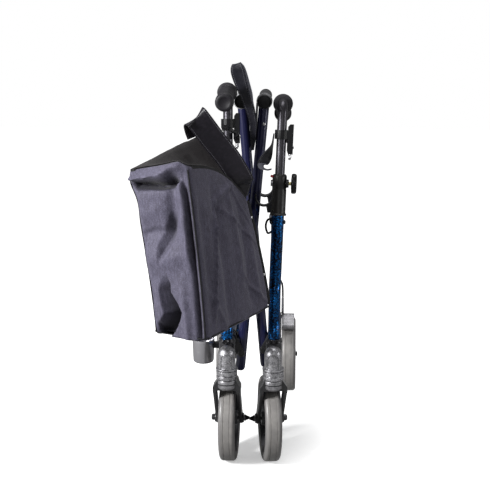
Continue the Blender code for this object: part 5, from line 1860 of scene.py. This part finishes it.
@dataclass
class CarryBag(Assembly):
    """Slack nylon shopping bag with a lid, piped corners, a side strap and a hanging loop."""

    front: Point = (-0.0797, -0.3286)
    width: float = 0.124
    length: float = 0.292
    heading: float = 25.5
    bottom: float = 0.1661
    heights: tuple = ((0.356, 0.235), (0.339, 0.382))
    lean: float = -0.046
    flare: float = 0.014
    corner: float = 0.014
    cells: tuple = (56, 60, 36, 80)
    body: ClassVar[str] = "left_frame"

    def point(self, across: float, along: float, rise: float) -> Vector:
        """Place on the bag, before its folds.

        Args:
            across: Share of its width, from the wall beside the frame's front.
            along: Share of its length, from the front.
            rise: Share of its height.

        Returns:
            The point.
        """
        turn = math.radians(self.heading)
        long_way = Vector((math.sin(turn), math.cos(turn), 0)) * self.length
        short_way = Vector((-math.cos(turn), math.sin(turn), 0)) * self.width
        lean = Vector((self.lean + self.flare * (1 - across) * (1 - along), 0, 0)) * max(0.0, rise) ** 1.3
        near, far = [low + (high - low) * along for low, high in self.heights]
        height = near + (far - near) * across
        height += 0.03 * math.sin(math.pi * clip(along)) * max(0.0, 1.0 - across) ** 2
        near_front = max(0.0, 1.0 - along) ** 6
        height += 0.017 * near_front * min(1.0, max(0.0, across) / 0.16) * max(0.0, 1.0 - across) ** 0.9
        puff = 0.0075 * near_front * max(0.0, across) ** 4
        bulge = puff * (ridge(rise - 0.925, 0.055) - 0.5 * ridge(rise - 0.79, 0.07))
        lean += short_way.normalized() * bulge
        origin = Vector((*self.front, DATUM + self.bottom))
        return origin + short_way * across + long_way * along + lean + Vector((0, 0, height * rise))

    def wall(self, x: float, y: float, rise: float) -> Vector:
        """Point over a place of the plan, in metres; the bag gets 3 % shorter to its top."""
        return self.point(x / self.width, y / self.length * (1.0 - 0.03 * rise), rise)

    def plan(self, inset: float) -> list[tuple[float, float, float, float]]:
        """Rounded rectangle drawn round the bag.

        Args:
            inset: How far inside the walls it runs.

        Returns:
            Points (x, y, outward x, outward y) in metres, the same number for any inset.
        """
        reach = max(0.002, self.corner - 0.1 * inset)
        points = []
        corners = ((0, 0, 270, 180), (1, 0, 360, 270), (1, 1, 90, 0), (0, 1, 180, 90))
        spots = []
        for a, b, end, start in corners:
            cx = a * self.width - (2 * a - 1) * (reach + inset)
            cy = b * self.length - (2 * b - 1) * (reach + inset)
            ways = [math.radians(start + (end - start) * i / 6) for i in range(7)]
            ways = [(math.cos(way), math.sin(way)) for way in ways]
            spots.append([(cx + reach * nx, cy + reach * ny, nx, ny) for nx, ny in ways])
        for count, turn, after in zip(self.cells, spots, spots[1:] + spots[:1]):
            points += turn
            (ax, ay, nx, ny), (bx, by, _, _) = turn[-1], after[0]
            wide, deep = bx - ax, by - ay
            points += [(ax + wide * i / count, ay + deep * i / count, nx, ny) for i in range(1, count)]
        return points

    def front_folds(self, p: float, r: float) -> float:
        """Outward push on the front wall.

        Args:
            p: Share of the wall from the piped front corner.
            r: Share of the height.

        Returns:
            The push in metres.
        """
        drift = Vector((p * 2.6, r * 5.2, 1.7))
        p += 0.055 * noise.noise(drift)
        r += 0.026 * noise.noise(drift + Vector((4, 1, 3)))
        push = 0.005 * math.sin(math.pi * clip(p)) * (1.0 - r)
        top = clip((p - 0.05) / 0.3)
        lip = 0.962 - 0.034 * math.exp(-((p - 0.52) / 0.26) ** 2)
        push += top * (0.019 * tent(r - lip, 0.024, 0.06) - 0.023 * ridge(r - (lip - 0.046), 0.018))
        push -= top * 0.007 * tent(r - 1.0, 0.05, 0.05)
        push += 0.009 * clip((p - 0.8) / 0.2) * ridge(r - 0.955, 0.045)
        push += 0.006 * top * ridge(r - 0.83, 0.06)
        push += 0.0075 * ridge(p - 0.17, 0.07) * span(r, 0.36, 1.00)
        push -= 0.0075 * ridge(p - (0.34 + 0.25 * (0.8 - r)), 0.09) * span(r, 0.58, 0.98)
        push += 0.0055 * ridge(r - 0.735, 0.05) * ridge(p - 0.8, 0.3)
        push -= 0.006 * tent(r - 0.64 + 0.03 * p, 0.06, 0.03) * span(p, 0.25, 1.25)
        along, off = by_line((0.33, 0.68), (0.62, 0.49), p, r)
        push -= 0.012 * tent(off, 0.075, 0.035) * span(along, -0.25, 1.25)
        push += 0.0085 * ridge(r - 0.47, 0.055) * ridge(p - 0.62, 0.38)
        if r < 0.38:
            depth = (0.38 - r) / 0.38
            deepest = 0.6 - 0.45 * max(0.0, min(depth, 0.6) - 0.29) + 0.62 * max(0.0, depth - 0.6)
            push -= 0.05 * min(1.0, 1.7 * depth) * tent(p - deepest, 0.045, 0.09 + 0.32 * depth)
            push += 0.006 * ridge(p - 0.34, 0.08) * min(1.0, 2.0 * depth)
            push -= 0.012 * tent(p - 1.0, 0.16, 0.1) * span(depth, 0.1, 0.95)
        along, off = by_line((0.5, 0.1), (0.1, 0), p, r)
        push += 0.0022 * ridge(off, 0.01) * span(along, -0.2, 1.1)
        return push

    def inner_folds(self, q: float, r: float) -> float:
        """Outward push on the long wall that faces the frame.

        Args:
            q: Share of the wall from the piped front corner.
            r: Share of the height.

        Returns:
            The push in metres.
        """
        drift = Vector((q * 4.0, r * 2.4, 9.1))
        q += 0.03 * noise.noise(drift)
        push = 0.0045 * math.sin(math.pi * clip(q)) * math.sin(math.pi * clip(r + 0.1))
        for start, end in (((0.67, 0.97), (0.33, 0.8)), ((0.33, 0.8), (0.25, 0.62)),
                           ((0.25, 0.62), (0.12, 0.12))):
            along, off = by_line(start, end, q, r)
            push += 0.007 * tent(off, 0.036, 0.024) * span(along, -0.25, 1.25)
        push -= 0.0085 * ridge(q - (0.4 - 0.08 * r), 0.06) * span(r, -0.1, 1.0)
        push += 0.006 * ridge(q - 0.56, 0.04) * span(r, 0.15, 1.0)
        push -= 0.008 * ridge(q - (0.7 + 0.05 * r), 0.055) * span(r, 0.0, 0.95)
        push += 0.004 * ridge(q - 0.83, 0.04) * span(r, 0.0, 0.75)
        push -= 0.0045 * ridge(q - 0.1, 0.04) * span(r, 0.0, 0.9)
        for start, end, depth in (((0.3, 0.78), (0.95, 0.6), 0.004), ((0.55, 0.35), (0.98, 0.05), 0.0045),
                                  ((0.62, 0.95), (0.92, 0.75), 0.0035), ((0.06, 0.3), (0.3, 0.02), 0.003)):
            along, off = by_line(start, end, q, r)
            push += depth * tent(off, 0.04, 0.026) * span(along, -0.1, 1.1)
        return push

    def push(self, x: float, y: float, nx: float, ny: float, rise: float) -> float:
        """Outward push of the cloth.

        Args:
            x: Place on the plan, across.
            y: Place on the plan, along.
            nx: Outward direction there, across.
            ny: Outward direction there, along.
            rise: Share of the height.

        Returns:
            The push in metres.
        """
        across, along = x / self.width, y / self.length
        fade = max(0.0, 1.0 - abs(nx * ny) * 2.0)
        wrinkle = 0.0016 * noise.fractal(Vector((x * 16.0, y * 16.0, rise * 5.5)), 1.0, 2.0, 3)
        if ny < -0.7:
            return fade * self.front_folds(across, rise) + wrinkle
        if nx < -0.7:
            return fade * self.inner_folds(along, rise) + wrinkle
        share = along if nx > 0.7 else across
        belly = math.sin(math.pi * share) * math.sin(math.pi * min(1.0, rise + 0.15))
        return fade * 0.004 * belly + wrinkle * 1.5

    def seam(self, x: float, y: float, rise: float) -> float:
        """Depth of the pinched valley beside the piped front corner."""
        share = ridge(x - 0.0115, 0.0058) if y < self.corner else 0.0
        return 0.0105 * share * span(rise, -0.2, 1.02)

    def shell(self) -> Shape:
        """Closed shell: base, walls with their folds, and a shallow top.

        Returns:
            The closed shape.
        """
        bm = bmesh.new()
        rows = [(0, inset) for inset in (0.046, 0.03, 0.016, 0.008, 0.003)]
        rows += [(0.004, 0.0012), (0.012, 0)]
        rows += [(0.012 + 0.972 * i / 116, 0) for i in range(1, 117)]
        rows += [(0.992, 0.0008), (0.997, 0.003), (0.996, 0.007), (0.99, 0.014), (0.984, 0.026), (0.98, 0.04),
                 (0.978, 0.05)]
        rings = []
        for rise, inset in rows:
            ring, walks, before = [], [], None
            for x, y, nx, ny in self.plan(inset):
                amount = self.push(x, y, nx, ny, rise) - self.seam(x, y, rise)
                amount *= max(0.0, 1.0 - inset / 0.012)
                spot = self.wall(x + nx * amount, y + ny * amount, rise)
                walks.append(walks[-1] + math.hypot(x - before[0], y - before[1]) if before else 0.0)
                before = (x, y)
                ring.append(bm.verts.new(spot))
            rings.append((ring, walks, rise * 0.33 - inset * (1 if rise < 0.5 else -1)))
        for (ring, walks, low), (after, _, high) in zip(rings, rings[1:]):
            walks = [*walks, walks[-1] + 0.003]
            join(bm, ring, after, [(walk, low) for walk in walks], [(walk, high) for walk in walks])
        for ring, walks, _ in (rings[0], rings[-1]):
            quad(bm, ring, [(0, walk) for walk in walks])
        return bm

    def edge_path(self, across: float, along: float, low: float, high: float,
                  count: int = 60) -> list[Vector]:
        """Path up one corner of the bag, just outside the cloth.

        Args:
            across: 0 or 1 for the corner's side.
            along: 0 or 1 for the front or the rear.
            low: Share of the height where it starts.
            high: Share of the height where it ends.
            count: Number of its spans.

        Returns:
            Points of the path.
        """
        x = self.corner * 0.3 if across < 0.5 else self.width - self.corner * 0.3
        y = self.corner * 0.3 if along < 0.5 else self.length - self.corner * 0.3
        return [self.wall(x, y, low + (high - low) * i / count) for i in range(count + 1)]

    def rim_path(self, inset: float, rise: float, lift: float) -> list[Vector]:
        """Closed path round the bag's rim.

        Args:
            inset: How far inside the walls it runs.
            rise: Share of the height.
            lift: How far above that it runs.

        Returns:
            Points of the path.
        """
        path = []
        for x, y, nx, ny in self.plan(inset):
            amount = self.push(x, y, nx, ny, rise)
            path.append(self.wall(x + nx * amount, y + ny * amount, rise) + UP * lift)
        return path

    def lid(self) -> Shape:
        """Top cover that sags between the rims, near-black as painted shade over the bag's top.

        Returns:
            The closed shape.
        """
        bm = bmesh.new()
        steps = mm((6, 1), (3, 2.6), (6, 4), (14, 2), (26, -1), (40, -3.5), (50, -4))
        rings, plans = [], []
        for k, (inset, lift) in enumerate(steps):
            path = self.rim_path(inset, 0.996, lift)
            rings.append([bm.verts.new(spot + Vector((0, 0, 0.0016 * noise.noise(spot * 38.0) * min(1, k))))
                          for spot in path])
            plan = [place[:2] for place in self.plan(inset)]
            plans.append(plan + plan[:1])
        for low, high, flat, beyond in zip(rings, rings[1:], plans, plans[1:]):
            join(bm, low, high, flat, beyond)
        floor = [bm.verts.new(v.co + Vector((0, 0, -0.002))) for v in rings[-1]]
        skirt = [bm.verts.new(v.co + Vector((0, 0, -0.0012))) for v in rings[0]]
        none = [(0, 0)] * (len(floor) + 1)
        join(bm, rings[0], skirt, none, none)
        join(bm, skirt, floor, none, none)
        for ring in (rings[-1], floor):
            quad(bm, ring, plans[-1])
        return bm

    def trims(self) -> None:
        """Fit the piping, the rim binding and the rear edge's webbing with its rivets."""
        cords = [sweep(self.edge_path(a, b, 0.015, 0.975), round_section(0.0015, 12))
                 for a, b in ((0, 0), (1, 0), (1, 1))]
        hem = [self.point((x + nx * 0.0008) / self.width, (y + ny * 0.0008) / self.length, 0.016)
               for x, y, nx, ny in self.plan(0.0) if y < self.length * 0.98 or nx < -0.9]
        cords.append(sweep(even_path([h for h in hem if h.x > self.front[0] - self.width], 0.004)[:-2],
                           round_section(0.0013, 10), (0, 0, 1)))
        self.put("bag_corner_piping", gather(*cords), "piping_black")
        rim = sweep(self.rim_path(0.001, 0.988, 0.0006)[62:], strap_section(0.008, 0.0014, cells=4),
                    (0, 0, 1))
        self.put("bag_rim_binding", rim, "piping_black")
        edge = self.edge_path(0.0, 1.0, 0.03, 0.97)
        turn = math.radians(self.heading)
        diagonal = (-math.cos(turn) - math.sin(turn), math.sin(turn) - math.cos(turn), 0)
        band = sweep(edge, strap_section(0.012, 0.0016, 0.0008, 6), diagonal)
        self.put("bag_rear_binding", band, "piping_black")
        outward = Vector((math.cos(turn), -math.sin(turn), 0))
        for i, share in enumerate((0.3, 0.86)):
            spot = edge[int(share * (len(edge) - 1))] + outward * 0.0012
            self.put(f"bag_rivet_{i + 1}", cap_screw(spot, outward, 0.003), "screw_bright_zinc")

    def strap(self) -> None:
        """Fit the wide carry strap, folded at its top."""
        turn = math.radians(self.heading)
        start = self.point(0.0, 0.83, 0.9) + Vector((math.cos(turn), -math.sin(turn), 0)) * 0.002
        knots = [start + Vector(offset) for offset in (
            (-0.016, 0.018, 0.012), (-0.01, 0.011, 0.034), (-0.005, -0.009, 0.048),
            (-0.011, -0.017, 0.064), (-0.0326, -0.0293, 0.1023), (-0.065, -0.0443, 0.1463),
            (-0.089, -0.0543, 0.1808), (-0.0972, -0.0543, 0.19), (-0.102, -0.043, 0.1845),
            (-0.101, -0.025, 0.169), (-0.096, -0.011, 0.15))]
        ways = [(0.8, 0.45, 0.1), (0.9, 0.3, 0.2), (0.94, 0.05, 0.3), (0.9, 0, 0.4), (0.8, 0, 0.58),
                (0.78, 0, 0.62), (0.78, 0, 0.62), (0.77, 0.05, 0.64), (0.76, 0.05, 0.64), (0.75, 0.1, 0.6),
                (0.75, 0.1, 0.56)]
        path = smooth_path(knots, 12)
        spread = [tuple(w) for w in smooth_path(ways, 12)]
        band = sweep(path, strap_section(0.052, 0.0026, 0.0022, 16), sides=spread)
        self.put("wide_carry_strap", band, "strap_satin_black", "bag_strap", slot="black_webbing")

    def hanger(self) -> None:
        """Fit the webbing loop round the left upright that carries the bag."""
        post = Post(Side.LEFT)
        height, width = 0.312, 0.03
        along = height - post.foot_height
        bore, thick = UPRIGHT_RADIUS + GAP, 0.0028
        outer = bore + thick
        ring = mm((-0.5, 0), (0, 0.8), out=outer) + mm((0, -0.8), (-0.5, 0), out=outer, up=width)
        ring = [(bore, 0), *ring, (bore, width)]
        loop = lathe(ring, post.matrix(along - width / 2), 48, closed=True)
        centre = post.point(0, 0, along)
        share = (centre.z - DATUM - self.bottom) / self.heights[1][1]
        back = self.point(0.78, 1.0, share)
        tab = [Vector((centre.x, centre.y - 0.016, centre.z)), Vector((back.x, back.y + 0.0012, centre.z))]
        tongue = sweep(even_path(tab, 0.004), strap_section(width - 0.002, 0.0028, 0.0, 8), (0, 0, 1))
        self.put("bag_hanging_loop", gather(loop, tongue), "loop_black", "bag_hanger", slot="black_webbing")

    def build(self) -> None:
        """Fit the bag's pieces."""
        self.put("bag_shell", self.shell(), "bag_oxford_nylon", "carry_bag", slot="bag_nylon", sharp=60.0)
        self.put("bag_lid", self.lid(), "lid_black_nylon", sharp=60.0)
        self.trims()
        self.strap()
        self.hanger()


@dataclass
class HandleLoop(Assembly):
    """Webbing loop on the inner side of the right handle tube, with a painted highlight on its inner face."""

    thickness: float = 0.0026
    width: float = 0.028
    body: ClassVar[str] = "handle_right"

    def build(self) -> None:
        """Fit the loop."""
        post = Post(Side.RIGHT)
        knots = [(-0.0176, 0, 0.36), (-0.0205, -0.002, 0.334), (-0.029, -0.004, 0.312),
                 (-0.036, -0.004, 0.299), (-0.0415, -0.002, 0.2885), (-0.0385, 0, 0.2805),
                 (-0.029, 0, 0.2775), (-0.0195, 0, 0.2795)]
        ways = [(0, 1), (0.15, 1), (0.75, 0.65), (1, 0.35), (0.75, 0.65), (0.2, 1), (0, 1), (0, 1)]
        path = smooth_path([post.handle(*k) for k in knots], 10)
        foot = post.handle(0, 0, 0)
        spread = [tuple(w) for w in smooth_path([post.handle(*way, 0) - foot for way in ways], 10)]
        band = sweep(path, strap_section(self.width, self.thickness, 0.0, 10), sides=spread)
        inside = post.handle(-0.028, 0.0, 0.292)
        bmesh.ops.recalc_face_normals(band, faces=band.faces)
        # Faces on the lower inside of the loop get the pale finish, a painted highlight.
        for face in band.faces:
            centre = face.calc_center_median()
            low = (centre - foot).dot(post.handle(0, 0, 1) - foot) < 0.2925
            if low and face.normal.dot(inside - centre) > 0.0:
                face.material_index = 1
        self.put("handle_webbing_loop", band, "loop_black", "webbing_loop", slot="black_webbing",
                 extra=("loop_pale_lining",))


@dataclass
class CaneCup(Assembly):
    """Grey cup for a walking stick on the left lower rail."""

    centre: Point = (-0.1135, 0.05)
    radius: float = 0.0262
    height: float = 0.056
    wall: float = 0.0025
    base: float = 0.2194
    body: ClassVar[str] = "left_frame"

    def build(self) -> None:
        """Fit the cup and its clamp."""
        r, tall, wall = self.radius, self.height, self.wall
        inside = r - wall
        profile = [(0, 0), *mm((-8.5, 0), (-5.2, 0.6), (-3, 2.2), (-1.8, 5.6), out=r),
                   *mm((-0.3, -5), (0.3, -4.6), (0.3, -0.6), (-0.2, 0), out=r, up=tall),
                   *mm((0.4, 0), (0, -0.6), out=inside, up=tall), (inside - 0.002, 0.0085),
                   (inside - 0.007, wall), (0, wall)]
        up = axis_matrix((*self.centre, self.base), UP)
        self.put("cane_cup_shell", lathe(profile, up, 72), "cup_grey_metal", "cane_cup", slot="fork_graphite")
        rail_z, rail = DATUM + LOWER_RAIL, -FRAME_HALF
        band = mm((11.3, -10), (14.4, -10), (15, -9.4), (15, 9.4), (14.4, 10), (11.3, 10))
        clamp = lathe(band, axis_matrix((rail, self.centre[1], rail_z), (0, 1, 0)), 48, closed=True)
        outline = [(self.centre[0] + r - 0.0036, rail_z - 0.006), (rail - 0.0135, rail_z - 0.006),
                   (rail - 0.0135, rail_z + 0.006), (self.centre[0] + r - 0.0024, rail_z + 0.006)]
        arm = slab(outline, lambda a, b, depth: Vector((a, self.centre[1] + depth, b)), -0.0095, 0.0095)
        self.put("cane_cup_clamp", clamp, "black_moulding")
        arm = through(arm, ("BEVEL", {"width": 0.0012, "segments": 3}))
        self.put("cane_cup_arm", arm, "black_moulding")


# ---- studio


@dataclass
class Studio:
    """Camera, floor, backdrop and lamps."""

    camera_place: Point = (0.1381, -2.6883, 1.1)
    camera_turn: Point = (77.1, 0, 2.2)
    lens: float = 85.4
    sensor: float = 36.0
    mirrored: float = 0.2
    fade: Point = (0.12, 0.36)
    contact: Point = (0.4, 0.4, 0.4)
    fill: Point = (0.1, 0.1, 0.1)
    white: Point = (1, 1, 1)

    def camera(self) -> None:
        """Make the camera at the photograph's viewing angle."""
        data = bpy.data.cameras.new("view")
        data.lens = self.lens
        data.sensor_width = self.sensor
        camera = stand("view", data)
        camera.location = self.camera_place
        camera.rotation_euler = [math.radians(a) for a in self.camera_turn]
        bpy.context.scene.camera = camera

    def lamp(self, name: str, place: Point, target: Point, size: float, power: float) -> None:
        """Make a soft area lamp.

        Args:
            name: Its name.
            place: Where it stands.
            target: Where it points.
            size: Its diameter.
            power: Its power in watts.
        """
        data = bpy.data.lights.new(name, "AREA")
        data.shape = "DISK"
        data.size = size
        data.energy = power
        lamp = stand(name, data)
        lamp.location = place
        lamp.rotation_euler = (Vector(target) - Vector(place)).to_track_quat("-Z", "Y").to_euler()

    def floor(self) -> None:
        """Make the pale floor, which glows for the camera: painted light, dim near the walker so its shadow
        shows there, and white further out, which hides the shadow.
        """
        bm = bmesh.new()
        bmesh.ops.create_grid(bm, x_segments=1, y_segments=1, size=6.0)
        tree = Tree.material("floor_paper")
        seen = tree.backdrop_seen(self.mirrored)
        reach = tree.node("ShaderNodeVectorMath", {"operation": "LENGTH"}, {0: tree.coordinates()}, "Value")
        # Painted light: the floor glows dimly near the walker and fully white further out, which hides the
        # shadow there.
        near = tree.mix(reach.within(*self.fade), self.contact, self.white)
        glow = tree.mix(seen, (0, 0, 0), near)
        paper = tree.mix(seen, (0.16, 0.16, 0.16), (0.8, 0.8, 0.8))
        floor = stand("floor", mesh_of(bm, "floor"))
        floor.data.materials.append(tree.finish(Base_Color=paper, Roughness=0.9, Emission_Color=glow,
                                                Emission_Strength=1.0, Specular_IOR_Level=0.1))

    def world(self) -> None:
        """Make the backdrop: white where it is seen, and a dim fill for everything else."""
        tree = Tree(bpy.data.worlds.new("studio"))
        light = tree.mix(tree.backdrop_seen(self.mirrored), self.fill, self.white)
        bpy.context.scene.world = tree.finish(Color=light)

    def build(self) -> None:
        """Set the whole studio up."""
        self.camera()
        self.floor()
        self.world()
        self.lamp("key_left", (-2.2, -1.7, 1.5), (0, 0, 0.5), 0.7, 156.0)
        self.lamp("front", (0.2, -2.7, 1.35), (0, 0, 0.4), 1.0, 5.0)
        self.lamp("strip_right", (1.5, -0.5, 0.7), (0, 0, 0.45), 0.45, 5.5)
        self.lamp("top", (0.1, 0, 2.8), (0, 0, 0.4), 1.4, 26.0)
        bpy.context.scene.view_settings.view_transform = "Standard"


def main() -> None:
    """Build the walker's looks in order."""
    logging.basicConfig(level=logging.INFO, format="%(name)s %(message)s")
    Studio().build()
    fitter = Fitter(Palette())
    for side in Side:
        for piece in (Caster, SideFrame, Handle):
            piece(fitter, side).build()
    brace = Brace(fitter)
    brace.build()
    SeatSling(fitter, brace).build()
    for piece in (CarryBag, HandleLoop, CaneCup):
        piece(fitter).build()
    LOG.info("%d pieces", len(fitter.fitted))


if __name__ == "__main__":
    main()
